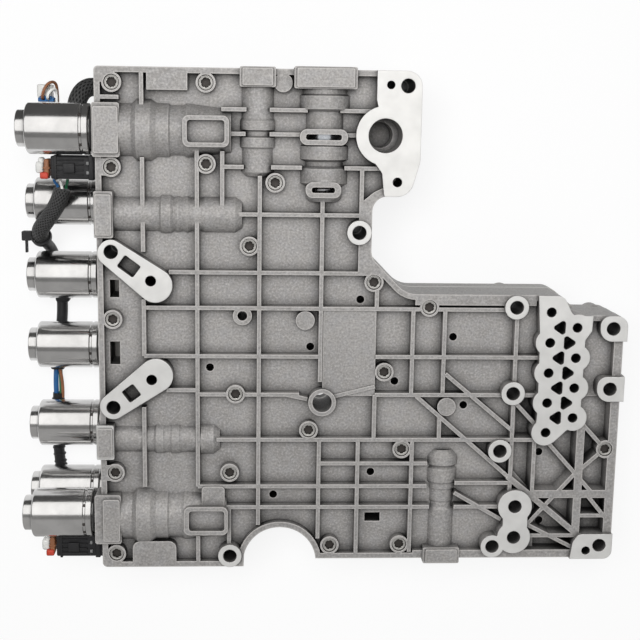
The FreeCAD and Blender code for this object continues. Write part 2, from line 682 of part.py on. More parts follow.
def track_is_free(x0, x1, y0, y1):
    """True where the cell lies inside the casting and clear of bolts, bores, ports and pockets."""
    if x1 > column_k - 4 or (x1 > notch_x - 3 and y1 > shoulder_y - 4):
        return False
    spots = [(x, y, bolt_boss_r + 1) for x, y in bolt_places]
    spots += [(x, y, case_boss_r) for x, y in case_holes()]
    spots += [(x, y, drill_r + 3) for x, y in drill_places]
    spots += [(x, y, dowel_r + 3) for x, y in dowel_places]
    spots += [(tube_boss[0], tube_boss[1], tube_boss_r), (plain_boss[0], plain_boss[1], plain_boss_r)]
    spots += [(arm_port_x, y, 6.0) for y in arm_port_y] + [(arch_x, arch_y, arch_r + 5)]
    for x, y, reach in spots:
        near_x = min(max(x, x0), x1)
        near_y = min(max(y, y0), y1)
        if math.hypot(near_x - x, near_y - y) < reach:
            return False
    keep = [(left_x, -52.0, y - 17, y + 17) for name, y, face_x in upper_cartridges]
    for valve in VALVES.values():
        reach = valve["bore_r"] + 4
        mouth_x, mouth_y = valve["mouth"]
        if valve["turn"] == 0.0:
            keep.append((mouth_x, mouth_x + valve["length"] + 2, mouth_y - reach, mouth_y + reach))
        elif valve["turn"] < 0:
            keep.append((mouth_x - reach, mouth_x + reach, mouth_y - valve["length"] - 2, mouth_y))
        else:
            keep.append((mouth_x - reach, mouth_x + reach, mouth_y, mouth_y + valve["length"] + 2))
    for low_x, high_x, low_y, high_y in keep:
        if x0 < high_x and x1 > low_x and y0 < high_y and y1 > low_y:
            return False
    return True


def upper_casting():
    outline = upper_outline()
    shell = prism(outline, upper_bottom_z, front_z)
    inner = outline.makeOffset2D(-band_width)
    shell = shell.cut(prism(inner, floor_z, front_z + 1))
    deep = prism(rounded_face([
        (column_k + 3, -48.0, 2.0), (column_k + 3, -96.0, 2.0), (137.0, -112.0, 2.0), (137.0, -147.0, 2.0),
        (181.0, -147.0, 2.0), (181.0, -48.0, 2.0),
    ]), front_z - deep_pocket_depth, front_z + 1)
    shell = shell.cut(deep)
    rim = disc(arch_x, arch_y, arch_r + band_width, floor_z - 1, front_z).common(prism(outline, floor_z - 1, front_z))
    right_band = block(right_x - 5.5, right_x, bottom_y + 4, lug_top_y - 2, rib_root_z, front_z)
    bottom_band = block(60.0, right_x - 4, bottom_y, bottom_y + 5.0, rib_root_z, front_z)
    top_plateau = block(-102.0, -78.5, 134.0, top_y, rib_root_z, front_z)
    low_plateau = prism(rounded_face([
        (-113.5, bottom_left_y, 0.0), (-86.8, bottom_left_y, 0.0), (-86.8, -139.5, 4.5), (-113.5, -139.5, 4.5),
    ]), rib_root_z, front_z)
    frame_boss = block(-71.0, -57.0, -118.0, -104.0, rib_root_z, front_z + 1.0, 2.5)
    notch_web = prism(rounded_face(notch_web_corners), rib_root_z, front_z)
    notch_web = notch_web.common(prism(outline, rib_root_z - 1, front_z + 1))
    shoulder_ledge = rib(column_g + 1, row_f + 4.6, 131.0, row_f + 4.6, ledge_width)
    fills = [block(*sides, rib_root_z, front_z) for sides in wall_fills]
    panel = block(column_d + 1.5, column_f, -47.0, row_f, rib_root_z, front_z - 0.8)
    knob = disc(-23.3, 139.1, 5.4, rib_root_z, front_z)
    forms = [shell, rim, right_band, bottom_band, top_plateau, low_plateau, panel, knob]
    forms += [frame_boss, notch_web, shoulder_ledge] + fills
    forms += rib_network() + ring_bosses() + waist_pad_form() + case_flange() + port_plate()
    forms += [corner_pad()] + [edge_lug(y) for y in edge_hole_y]
    forms += [mounting_arm(*places) for places in zip(arm_hole_y, arm_port_y, arm_pockets)]
    for valve in VALVES.values():
        forms += valve_hump(valve)
    for (name, y, face_x), crown_start in zip(upper_cartridges, crown_starts):
        forms += upper_cartridge_hump(y, face_x, crown_start)
    forms += [slot_pad(x, y, pad_length, pad_width) for x, y, pad_length, pad_width, length, width in slot_rows]
    casting = fused(forms)

    cuts = [arch_cut()]
    cuts += [disc(x, y, bolt_r + bolt_fit, upper_bottom_z - 1, front_z) for x, y in bolt_places]
    cuts += [disc(x, y, bolt_head_r + bolt_fit, front_z - bolt_seat_depth, front_z + 1) for x, y in bolt_places]
    cuts += [disc(x, y, case_hole_r, upper_bottom_z - 1, pad_z + 1) for x, y in case_holes()]
    cuts += [disc(x, y, drill_r, floor_z - drill_depth, floor_z + 1) for x, y in drill_places]
    cuts += [disc(x, y, feed_hole_r, pad_z - feed_depth, pad_z + 1) for x, y in feed_holes()]
    cuts += feed_slots()
    cuts += [disc(arm_port_x, y, arm_port_r, upper_bottom_z + 4, pad_z + 1) for y in arm_port_y]
    cuts.append(disc(*tube_boss, tube_hole_r, upper_bottom_z - 1, pad_z + 1))
    cuts.append(disc(*plain_boss, plain_hole_r, upper_bottom_z - 1, front_z + 1))
    cuts.append(disc(*corner_port, corner_port_r, pad_z - feed_depth, pad_z + 1))
    cuts.append(disc(*flange_port, flange_port_r, pad_z - feed_depth, pad_z + 1))
    cuts.append(disc(*flange_low_hole, flange_low_r, upper_bottom_z - 1, pad_z + 1))
    cuts.append(disc(port_x, port_y, port_r, pad_z - port_depth, pad_z + 1))
    cuts.append(disc(port_x - 1.0, port_y, port_floor_r, upper_bottom_z - 1, pad_z + 1))
    cuts += [window_pocket(y) for name, y, face_x in upper_cartridges]
    cuts += [slot_cut(x, y, length, width) for x, y, pad_length, pad_width, length, width in slot_rows]
    cuts.append(block(-125.5, -120.0, 12.0, 22.6, upper_bottom_z - 1, front_z + 1))
    cuts.append(block(-126.0, -120.0, -29.0, -15.0, upper_bottom_z - 1, front_z + 1))
    cuts.append(block(30.0, 39.6, -128.8, -123.2, upper_bottom_z - 1, front_z + 1))
    for valve in VALVES.values():
        cuts.append(valve_bore(valve))
    for name, y, face_x in upper_cartridges:
        cuts.append(placed(cartridge_bore(), (face_x, y), 0.0, upper_cartridge_z))
    cuts += [disc(x, y, dowel_r + dowel_gap, upper_bottom_z - 1, upper_bottom_z + dowel_depth)
             for x, y in dowel_places]
    cuts += track_pockets()
    return casting.cut(group(cuts)).removeSplitter()


def separator_plate():
    plate = prism(lower_outline(), lower_top_z, upper_bottom_z)
    cuts = [arch_cut()]
    cuts += [disc(x, y, bolt_r + bolt_fit, lower_top_z - 1, upper_bottom_z + 1) for x, y in bolt_places]
    cuts += [disc(x, y, case_hole_r, lower_top_z - 1, upper_bottom_z + 1) for x, y in case_holes()]
    cuts += [disc(x, y, dowel_r + dowel_gap, lower_top_z - 1, upper_bottom_z + 1) for x, y in dowel_places]
    cuts += [disc(x, y, ball_r - 1.0, lower_top_z - 1, upper_bottom_z + 1) for x, y in ball_places]
    cuts.append(disc(*tube_boss, tube_hole_r, lower_top_z - 1, upper_bottom_z + 1))
    cuts.append(disc(*plain_boss, plain_hole_r, lower_top_z - 1, upper_bottom_z + 1))
    cuts.append(disc(port_x - 1.0, port_y, port_floor_r, lower_top_z - 1, upper_bottom_z + 1))
    return plate.cut(group(cuts))


def ridge(y, x0, x1, radius):
    """A round-bottomed ridge along X that hangs from the deck, on the axis of a lower cartridge."""
    face = Part.Face(Part.Wire([
        Part.Arc(Vec(0, -radius, lower_axis_z), Vec(0, 0, lower_axis_z - radius),
                 Vec(0, radius, lower_axis_z)).toShape(),
        Part.LineSegment(Vec(0, radius, lower_axis_z), Vec(0, radius, deck_z + 1)).toShape(),
        Part.LineSegment(Vec(0, radius, deck_z + 1), Vec(0, -radius, deck_z + 1)).toShape(),
        Part.LineSegment(Vec(0, -radius, deck_z + 1), Vec(0, -radius, lower_axis_z)).toShape(),
    ]))
    form = face.extrude(Vec(x1 - x0, 0, 0))
    form.translate(Vec(x0, y, 0))
    return form


def lower_ridges():
    """The boss round each lower cartridge and the ringed valve ridge that runs on behind it."""
    forms = []
    for y, end in zip(lower_cartridge_y, ridge_ends):
        boss_end = lower_face_x + cartridge_boss_length
        forms.append(ridge(y, lower_face_x, boss_end, cartridge_boss_r))
        forms.append(ridge(y, boss_end - 1, end, ridge_r))
        lands = int((end - boss_end) / ridge_land_pitch)
        for i in range(lands):
            start = boss_end + 5.0 + i * ridge_land_pitch
            forms.append(ridge(y, start, start + ridge_land_length, ridge_land_r))
    return forms


def lower_ribs():
    ribs = []
    for x in (column_b + 30, column_d + 12, column_g, 95.0, 140.0):
        start = bottom_y + 2 if abs(x - arch_x) > arch_r + 8 else arch_y + arch_r + 8
        end = top_y - 2 if x < notch_x else shoulder_y - 2
        ribs.append(block(x - 1.8, x + 1.8, start, end, skirt_z, deck_z + 1))
    for y in (row_a - 6, row_c - 7.5, row_e + 12, row_f - 2, row_h + 4, row_k - 2.5, row_m - 8):
        end = lower_right_x - 2 if y < shoulder_y - 2 else notch_x - 1
        ribs.append(block(lower_face_x + cartridge_boss_length - 2, end, y - 1.8, y + 1.8, skirt_z, deck_z + 1))
    room = prism(lower_outline(), skirt_z, deck_z + 1)
    return [one.common(room) for one in ribs]


def foot_holes():
    """Case bolts whose bosses stand down to the rest face."""
    return list(foot_bolts) + [(arm_hole_x, y) for y in arm_hole_y] + [flange_hole]


def lower_casting():
    outline = lower_outline()
    shell = prism(outline, skirt_z, lower_top_z)
    inner = outline.makeOffset2D(-band_width - 1.0)
    shell = shell.cut(prism(inner, skirt_z - 1, deck_z))
    forms = [shell]
    forms += lower_ridges()
    forms += lower_ribs()
    forms.append(disc(arch_x, arch_y, arch_r + band_width + 1, skirt_z, deck_z + 1)
                 .common(prism(outline, skirt_z, deck_z + 1)))
    forms += [disc(x, y, bolt_boss_r, skirt_z, deck_z + 1) for x, y in bolt_places]
    forms += [disc(x, y, case_boss_r, skirt_z - case_boss_drop, deck_z + 1) for x, y in case_holes()]
    forms += [disc(x, y, case_foot_r, 0.0, deck_z + 1) for x, y in foot_holes()]
    forms += [disc(x, y, rest_pad_r, 0.0, deck_z + 1) for x, y in rest_pads]
    casting = fused(forms)
    bolt_end_z = lower_top_z - bolt_engagement
    cuts = [arch_cut()]
    cuts += [disc(x, y, bolt_r + 0.05, bolt_end_z - 2, lower_top_z + 1) for x, y in bolt_places]
    cuts += [disc(x, y, case_hole_r, -1.0, lower_top_z + 1) for x, y in case_holes()]
    cuts += [placed(cartridge_bore(), (lower_face_x, y), 0.0, lower_axis_z) for y in lower_cartridge_y]
    cuts += [disc(x, y, dowel_r + dowel_gap, lower_top_z - dowel_depth + 1, lower_top_z + 1) for x, y in dowel_places]
    cuts += [disc(x, y, ball_r + 1.0, lower_top_z - 6.5, lower_top_z + 1) for x, y in ball_places]
    cuts.append(disc(*tube_boss, tube_hole_r, skirt_z - 1, lower_top_z + 1))
    cuts.append(disc(*plain_boss, plain_hole_r, deck_z - 1, lower_top_z + 1))
    cuts.append(disc(port_x - 1.0, port_y, port_floor_r, deck_z + 2, lower_top_z + 1))
    return casting.cut(group(cuts)).removeSplitter()


def clamp_bolts():
    """Socket-headed clamp bolts, one group of identical solids."""
    seat_z = front_z - bolt_seat_depth
    top_z = seat_z + bolt_head_height
    bolt = disc(0, 0, bolt_head_r, seat_z, top_z)
    bolt = bolt.fuse(disc(0, 0, bolt_r, lower_top_z - bolt_engagement, seat_z + 1))
    socket = [Vec(bolt_socket_r * math.cos(math.radians(60 * i)), bolt_socket_r * math.sin(math.radians(60 * i)),
                  top_z - bolt_socket_depth) for i in range(7)]
    bolt = bolt.cut(Part.Face(Part.makePolygon(socket)).extrude(Vec(0, 0, bolt_socket_depth + 1)))
    bolt = bolt.removeSplitter()
    copies = []
    for x, y in bolt_places:
        copy = bolt.copy()
        copy.translate(Vec(x, y, 0))
        copies.append(copy)
    return group(copies)


def dowel_pins():
    low = lower_top_z - dowel_depth + 1.2
    high = upper_bottom_z + dowel_depth - 0.2
    return group([disc(x, y, dowel_r, low, high) for x, y in dowel_places])


def check_balls():
    """Steel balls that seat under the holes of the separator plate."""
    sink = ball_r - math.sqrt(ball_r ** 2 - (ball_r - 1.0) ** 2)
    centre_z = lower_top_z - ball_r + sink - ball_seat_gap
    return group([Part.makeSphere(ball_r, Vec(x, y, centre_z)) for x, y in ball_places])


def solenoid(face_x, y, height, can_length, neck=neck_length):
    """One cartridge: end cap, can with a crimp groove, neck and stepped nose, pointing along +X."""
    can_start = -neck - can_length
    notch_start = -neck - 6.0
    body = turned(stepped([
        (can_start - cap_length, can_start, cap_r),
        (can_start, notch_start, can_r),
        (notch_start, notch_start + can_notch_length, can_r - can_notch_depth),
        (notch_start + can_notch_length, -neck, can_r),
        (-neck, 0.0, neck_r),
        (0.0, nose_length, nose_r),
        (nose_length, nose_length + nose_tip_length, nose_tip_r),
    ]))
    return placed(body, (face_x, y), 0.0, height)


def spool_lands(valve):
    """The (start, end) stretches of the lands, counted from the plug that stops the spool."""
    stretches = []
    station = plug_end() + stop_gap
    free = valve["length"] - bore_end_wall - station
    for stem, length in valve["lands"]:
        start = station + stem * free
        station = start + length * free
        stretches.append((start, station))
    return stretches


def spool(valve):
    """A turned spool: full-bore lands with thinner stems between them."""
    land_r = valve["bore_r"] - land_gap
    stem_r = valve["bore_r"] * spool_stem_share
    lands = spool_lands(valve)
    stretches = []
    for i, (start, end) in enumerate(lands):
        if i > 0:
            stretches.append((lands[i - 1][1], start, stem_r))
        stretches.append((start, end, land_r))
    return placed(turned(stepped(stretches)), valve["mouth"], valve["turn"], valve_axis_z)


def coil_spring(valve):
    """A return spring between the last land and the blind end of the bore, squared wire in short runs."""
    radius = valve["bore_r"] - spring_wire - 0.6
    start = spool_lands(valve)[-1][1] + spring_gap
    length = valve["length"] - bore_end_wall - start - spring_gap
    rise = (length - spring_wire) / (spring_turns * spring_sides)
    half = spring_wire / 2
    rings = []
    for i in range(spring_turns * spring_sides + 1):
        angle = 2 * math.pi * i / spring_sides
        station = start + half + rise * i
        radial = Vec(0, math.cos(angle), math.sin(angle))
        centre = Vec(station, 0, 0) + radial * radius
        along = Vec(half, 0, 0)
        rings.append([centre - radial * half - along, centre + radial * half - along,
                      centre + radial * half + along, centre - radial * half + along])
    faces = [Part.Face(Part.makePolygon(rings[0][::-1] + rings[0][-1:]))]
    faces.append(Part.Face(Part.makePolygon(rings[-1] + rings[-1][:1])))
    for low, high in zip(rings, rings[1:]):
        for i in range(4):
            j = (i + 1) % 4
            faces.append(Part.Face(Part.makePolygon([low[i], low[j], high[j], low[i]])))
            faces.append(Part.Face(Part.makePolygon([low[i], high[j], high[i], low[i]])))
    coil = Part.Solid(Part.Shell(faces))
    if coil.Volume < 0:
        coil.reverse()
    return placed(coil, valve["mouth"], valve["turn"], valve_axis_z)


def end_plug(valve):
    """The turned plug that closes the mouth of a spool bore."""
    plug_r = valve["bore_r"] + plug_ring - plug_gap
    start = plug_end() - plug_length + ring_gap
    plug = turned(stepped([(start, start + 0.6 * plug_length, plug_r),
                           (start + 0.6 * plug_length, plug_end() - ring_gap, plug_r - 0.6)]))
    return placed(plug, valve["mouth"], valve["turn"], valve_axis_z)


def snap_ring(valve):
    """The open snap ring in the groove in front of an end plug."""
    mouth_r = valve["bore_r"] + plug_ring
    start = ring_station + ring_gap
    outer = Part.makeCylinder(mouth_r + ring_groove - ring_gap, ring_thickness, Vec(start, 0, 0), X_AXIS)
    inner = Part.makeCylinder(mouth_r - ring_width, 3 * ring_thickness, Vec(start - ring_thickness, 0, 0), X_AXIS)
    opening = Part.makeBox(3 * ring_thickness, ring_opening, 2 * mouth_r,
                           Vec(start - ring_thickness, -ring_opening / 2, 0))
    return placed(outer.cut(group([inner, opening])), valve["mouth"], valve["turn"], valve_axis_z)


def tube(points, radius):
    """A round tube along straight runs joined by tangent arcs that fill 0.45 of the shorter run."""
    stops = [Vec(*point) for point in points]
    edges = []
    here = stops[0]
    radii = []
    for before, corner, after in zip(stops, stops[1:], stops[2:]):
        into = (corner - before).normalize()
        out = (after - corner).normalize()
        turn = into.getAngle(out)
        reach = 0.45 * min((corner - before).Length, (after - corner).Length)
        bend = reach / math.tan(turn / 2)
        start = corner - into * reach
        end = corner + out * reach
        bisector = (out - into).normalize()
        middle = corner + bisector * (bend / math.cos(turn / 2) - bend)
        edges.append(Part.LineSegment(here, start).toShape())
        edges.append(Part.Arc(start, middle, end).toShape())
        here = end
        radii.append(round(bend, 1))
    edges.append(Part.LineSegment(here, stops[-1]).toShape())
    path = Part.Wire(edges)
    first = (stops[1] - stops[0]).normalize()
    section = Part.Wire(Part.Edge(Part.Circle(stops[0], first, radius)))
    solid = path.makePipeShell([section], True, False, 0)
    print("tube radii", radii, "volume share", round(solid.Volume / (math.pi * radius ** 2 * path.Length), 4))
    return solid


def side_connector(y, face_x):
    """A front cartridge's plug: a housing with a latch rib and a tab, hung beside the can."""
    high = upper_cartridge_z
    low = high - connector_height
    near = y - can_r - connector_gap
    far = near - connector_depth
    body = block(face_x - 27.0, face_x - 3.0, far, near, low, high, 1.6)
    latch = block(face_x - 22.0, face_x - 12.0, far + 3.0, near - 3.0, high - 0.5, high + 1.6, 0.8)
    tab = block(face_x - 3.5, left_x - connector_gap, far + 3.0, near - 2.0, low + 3, high - 3)
    return fused([body, latch, tab])


def connector_lock(y, face_x):
    near = y - can_r - connector_gap
    return block(face_x - 31.5, face_x - 27.2, near - connector_depth + 1.0, near - 2.0,
                 upper_cartridge_z - connector_height + 3, upper_cartridge_z - 2, 0.8)


def back_connector():
    """The plug of the uppermost lower cartridge, between the two rows of cans."""
    low = lower_axis_z + can_r + connector_gap
    high = upper_cartridge_z - can_r - connector_gap
    return block(-176.0, -157.4, 103.0, 126.0, low, high, 1.5)


def wires(routes):
    return group([tube(route, wire_r) for route in routes])


def trunk_clip():
    """The clip that hangs the trunk under a lower can."""
    top = lower_axis_z - can_r - connector_gap
    body = block(-178.0, -162.0, -30.0, -26.0, 0.6, top, 1.0)
    centre = Vec(*TRUNK[5])
    along = (Vec(*TRUNK[4]) - Vec(*TRUNK[6])).normalize()
    hole = Part.makeCylinder(trunk_r + 0.15, 12.0, centre - along * 6.0, along)
    return body.cut(hole)


def main_connector():
    """The connector under the deck that the top loom runs into."""
    return block(-107.0, -82.0, 127.0, 142.4, 23.0, deck_z - connector_gap, 1.5)


def cable_tie():
    """The tie round the side loom with its square head and cut tail."""
    last = Vec(*SIDE_LOOM[-1])
    along = (last - Vec(*SIDE_LOOM[-2])).normalize()
    start = last - along * (tie_width + 1.5)
    ring = Part.makeCylinder(side_loom_r + tie_thickness, tie_width, start, along)
    head = block(start.x - side_loom_r - 6.5, start.x - side_loom_r - 0.4, start.y - 3.5, start.y + 2.5,
                 start.z - tie_width, start.z + 0.5, 0.8)
    tail = block(start.x - side_loom_r - 4.5, start.x - side_loom_r - 3.2, start.y - 11.0, start.y - 3.0,
                 start.z - tie_width + 0.5, start.z - 0.2)
    bore = Part.makeCylinder(side_loom_r + 0.05, 3 * tie_width, start - along * tie_width, along)
    return fused([ring, head, tail]).cut(bore)


def harness():
    parts = {}
    for name, y, face_x in upper_cartridges:
        parts["side_connector_" + name] = side_connector(y, face_x)
        parts["connector_lock_" + name] = connector_lock(y, face_x)
    parts["top_loom"] = tube(TOP_LOOM, loom_r)
    parts["side_loom"] = tube(SIDE_LOOM, side_loom_r)
    parts["loom_trunk"] = tube(TRUNK, trunk_r)
    parts["top_plug"] = block(-169.6, -159.7, 126.3, 136.6, 46.0, 57.0, 1.2)
    parts["top_wires"] = wires(TOP_WIRES)
    parts["side_wires"] = wires(SIDE_WIRES)
    parts["back_connector"] = back_connector()
    parts["main_connector"] = main_connector()
    parts["cable_tie"] = cable_tie()
    parts["trunk_clip"] = trunk_clip()
    return parts


def nodes():
    parts = {
        "upper_casting": upper_casting(),
        "separator_plate": separator_plate(),
        "lower_casting": lower_casting(),
        "clamp_bolts": clamp_bolts(),
        "dowel_pins": dowel_pins(),
        "check_balls": check_balls(),
    }
    for name, y, face_x in upper_cartridges:
        parts["front_solenoid_" + name] = solenoid(face_x, y, upper_cartridge_z, front_can_length)
    for i, (y, step) in enumerate(zip(lower_cartridge_y, lower_neck_steps)):
        parts["back_solenoid_%d" % (i + 1)] = solenoid(lower_face_x, y, lower_axis_z, back_can_length,
                                                       neck_length + step)
    for name, valve in VALVES.items():
        parts[name] = spool(valve)
        parts[name + "_spring"] = coil_spring(valve)
        parts[name + "_plug"] = end_plug(valve)
        parts[name + "_ring"] = snap_ring(valve)
    parts.update(harness())
    return parts


def main():
    os.makedirs("parts", exist_ok=True)
    for name, shape in nodes().items():
        shape.exportStep("parts/%s.step" % name)
        print(name, "valid" if shape.isValid() else "INVALID", len(shape.Solids), "solids",
              len(shape.Faces), "faces", round(shape.Volume / 1000, 2), "cm3")


main()
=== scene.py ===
import json
import math

import bpy
from mathutils import Matrix, Vector

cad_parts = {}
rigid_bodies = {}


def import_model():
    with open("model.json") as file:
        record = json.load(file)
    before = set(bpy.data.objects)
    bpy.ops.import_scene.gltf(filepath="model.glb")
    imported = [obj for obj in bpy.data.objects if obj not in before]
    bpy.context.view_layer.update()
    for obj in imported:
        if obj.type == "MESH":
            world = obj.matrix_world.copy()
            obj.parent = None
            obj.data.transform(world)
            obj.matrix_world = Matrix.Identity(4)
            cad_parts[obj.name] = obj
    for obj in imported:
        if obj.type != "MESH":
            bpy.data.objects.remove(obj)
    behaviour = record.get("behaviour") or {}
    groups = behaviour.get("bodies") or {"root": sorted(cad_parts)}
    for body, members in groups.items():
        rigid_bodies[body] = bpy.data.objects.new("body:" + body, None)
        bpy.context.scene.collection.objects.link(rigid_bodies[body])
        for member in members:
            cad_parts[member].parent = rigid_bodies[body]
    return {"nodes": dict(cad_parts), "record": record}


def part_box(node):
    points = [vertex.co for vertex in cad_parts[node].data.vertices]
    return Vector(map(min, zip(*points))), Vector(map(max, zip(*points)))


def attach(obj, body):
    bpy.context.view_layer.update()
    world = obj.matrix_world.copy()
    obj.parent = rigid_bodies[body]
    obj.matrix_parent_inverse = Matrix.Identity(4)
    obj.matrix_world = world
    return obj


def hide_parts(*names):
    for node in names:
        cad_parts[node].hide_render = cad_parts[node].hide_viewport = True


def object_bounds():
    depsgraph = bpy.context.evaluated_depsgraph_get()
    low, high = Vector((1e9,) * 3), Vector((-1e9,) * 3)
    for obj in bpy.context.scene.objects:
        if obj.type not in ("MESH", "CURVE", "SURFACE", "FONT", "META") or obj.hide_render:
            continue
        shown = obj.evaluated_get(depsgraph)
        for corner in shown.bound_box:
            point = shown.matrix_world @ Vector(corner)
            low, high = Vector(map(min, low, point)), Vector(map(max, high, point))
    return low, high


bl_info = {
    "name": "Transmission Valve Body",
    "version": (1, 0, 0),
    "blender": (4, 5, 0),
    "location": "View3D > Sidebar > Valve Body",
    "description": "Finishes a two-storey valve body: castings, bolts, cartridges, valves, wiring and stage",
    "category": "Object",
}

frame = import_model()
cad_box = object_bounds()
MOUNTS = {mount["name"]: mount["pos_m"] for mount in frame["record"]["mounts"]}

MM = 0.001
BODY = "body"
VALVES = ("line_valve", "torque_valve", "boost_valve", "pressure_valve", "lockup_valve")
FRONT_SOLENOIDS = ("front_solenoid_1", "front_solenoid_2")
BACK_SOLENOIDS = tuple(f"back_solenoid_{number}" for number in range(1, 7))

# Width of the picture that the focal length is given over, in pixels
FRAME_PIXELS = 640.0

# Turn of the camera away from square on, in degrees
CAMERA_TILT = 10.277
CAMERA_YAW = 3.030
CAMERA_ROLL = -0.882

# Middle of the one boss whose top is left as cast, in metres
CAST_BOSS = (0.0019, -0.0504, 0.088)

# Routes of the held wiring, in metres
TOP_LOOM_ROUTE = (
    (-0.1571, 0.1118, 0.0490), (-0.1517, 0.1118, 0.0490), (-0.1479, 0.1156, 0.0490),
    (-0.1477, 0.1270, 0.0486), (-0.1434, 0.1352, 0.0430), (-0.1366, 0.1362, 0.0315),
    (-0.1240, 0.1348, 0.0306), (-0.1073, 0.1348, 0.0306),
)
SIDE_LOOM_ROUTE = (
    (-0.1565, 0.0744, 0.0540), (-0.1578, 0.0690, 0.0535), (-0.1625, 0.0610, 0.0500),
    (-0.1685, 0.0535, 0.0465), (-0.1740, 0.0465, 0.0415), (-0.1738, 0.0420, 0.0300),
)
TRUNK_ROUTE = (
    (-0.1738, 0.0420, 0.0300), (-0.17362, 0.03795, 0.01965), (-0.1716, 0.0320, 0.0080),
    (-0.1682, 0.0180, 0.0050), (-0.1659, -0.0040, 0.0052), (-0.1683, -0.0280, 0.0050),
    (-0.1703, -0.0540, 0.0052), (-0.1712, -0.0800, 0.0050), (-0.1716, -0.1040, 0.0050),
    (-0.1688, -0.1270, 0.0046), (-0.1642, -0.1415, 0.0105), (-0.1595, -0.1488, 0.0240),
    (-0.1570, -0.1490, 0.0430), (-0.1570, -0.1490, 0.0547),
)
TRUNK_GAP = ((-0.1699, -0.0470, 0.0052), (-0.1706, -0.0650, 0.0052))
TRUNK_WIRES = (
    ("blue", 1.7 * MM, ((-0.1712, -0.0450, 0.0052), (-0.1724, -0.0560, 0.0052), (-0.1718, -0.0680, 0.0052))),
    ("green", 1.3 * MM, ((-0.1690, -0.0450, 0.0050), (-0.1686, -0.0560, 0.0050), (-0.1688, -0.0680, 0.0050))),
    ("brown", 1.1 * MM, ((-0.1696, -0.0450, 0.0070), (-0.1668, -0.0570, 0.0066), (-0.1676, -0.0680, 0.0064))),
)
TOP_WIRE_ROUTES = (
    ("brown", ((-0.1660, 0.1282, 0.0573), (-0.1660, 0.1282, 0.0610), (-0.1645, 0.1335, 0.0625),
               (-0.1615, 0.1378, 0.0605), (-0.1585, 0.1380, 0.0550), (-0.1585, 0.1320, 0.0500),
               (-0.1585, 0.1263, 0.0500))),
    ("white", ((-0.1630, 0.1282, 0.0573), (-0.1630, 0.1282, 0.0605), (-0.1615, 0.1325, 0.0610),
               (-0.1586, 0.1345, 0.0575), (-0.1585, 0.1310, 0.0536), (-0.1585, 0.1263, 0.0536))),
)
SIDE_WIRE_ROUTES = (
    ("blue", ((-0.1605, 0.0806, 0.0585), (-0.1605, 0.0791, 0.0585), (-0.1588, 0.0769, 0.05555),
              (-0.1588, 0.07542, 0.05555))),
    ("white", ((-0.1565, 0.0806, 0.0600), (-0.1565, 0.0791, 0.0600), (-0.1561, 0.0762, 0.05685),
               (-0.1561, 0.07465, 0.05685))),
    ("green", ((-0.1524, 0.0806, 0.0585), (-0.1524, 0.0791, 0.0585), (-0.1542, 0.0760, 0.05325),
               (-0.1542, 0.0745, 0.05325))),
)

# Blocks are two corners and an edge rounding, in millimetres: the plugs' from a corner of the plug
CONNECTOR_RIDGES = (
    ((4.0, 2.6, -1.0), (20.0, 3.5, 0.5), 0.3), ((4.0, 5.4, -1.0), (20.0, 6.3, 0.5), 0.3),
    ((4.0, 8.6, -1.0), (20.0, 9.5, 0.5), 0.3), ((4.0, 11.4, -1.0), (20.0, 12.3, 0.5), 0.3),
    ((8.0, 4.2, -0.5), (15.0, 10.2, 1.4), 0.6),
)
LATCH_TABS = (((21.6, 3.4, -0.6), (23.2, 5.4, 0.7), 0.3), ((21.6, 9.0, -0.6), (23.2, 11.0, 0.7), 0.3))
LOCK_CLIP = (((-4.4, 2.6, -10.0), (0.2, 9.6, -1.0), 1.6), ((-3.0, 7.8, -9.0), (0.4, 12.0, -2.0), 1.4))
LOCK_KEY = (((-1.6, -0.6, -8.0), (3.4, 3.4, 0.6), 1.0),)
TOP_PLUG = (((0.0, 2.2, 0.0), (7.6, 10.3, 0.0), 1.0), ((0.8, 8.0, 2.0), (9.0, 10.2, -1.0), 0.6),
            ((6.8, 3.0, 1.0), (8.4, 9.0, -2.0), 0.5))
TOP_PLUG_BASE = (((0.4, 0.0, 0.6), (9.9, 2.6, -0.6), 0.5), ((1.4, 1.6, 1.0), (8.6, 3.4, 0.2), 0.4))
LOOM_CLIPS = (
    ("loom_clip_upper", (((-174.5, -0.4, 4.2), (-158.5, 2.4, 8.2), 0.9),
                         ((-170.4, -3.0, 0.9), (-161.4, 2.2, 9.2), 1.6))),
    ("loom_clip_lower", (((-181.5, -46.4, 4.2), (-165.8, -43.4, 8.2), 0.9),
                         ((-174.8, -48.6, 0.9), (-165.6, -43.6, 9.2), 1.6))),
)


class CastingLook(bpy.types.PropertyGroup):
    """Finish of the two castings."""

    skin_colour: bpy.props.FloatVectorProperty(
        name="Skin colour", description="Colour of the as-cast skin", subtype="COLOR", size=3,
        default=(0.325, 0.314, 0.304), min=0.0, max=1.0)
    machined_colour: bpy.props.FloatVectorProperty(
        name="Machined colour", description="Colour of the milled pads", subtype="COLOR", size=3,
        default=(0.66, 0.655, 0.64), min=0.0, max=1.0)
    edge_round: bpy.props.FloatProperty(
        name="Edge round", description="Radius of the rounding on cast edges", default=0.6 * MM,
        min=0.0, max=3 * MM, unit="LENGTH")
    pad_level: bpy.props.FloatProperty(
        name="Pad level", description="Height of the milled pads", default=MOUNTS["case_pad"][2],
        unit="LENGTH")
    cast_boss_r: bpy.props.FloatProperty(
        name="Cast boss radius", description="Reach of the boss whose top is left as cast",
        default=9.5 * MM, unit="LENGTH")


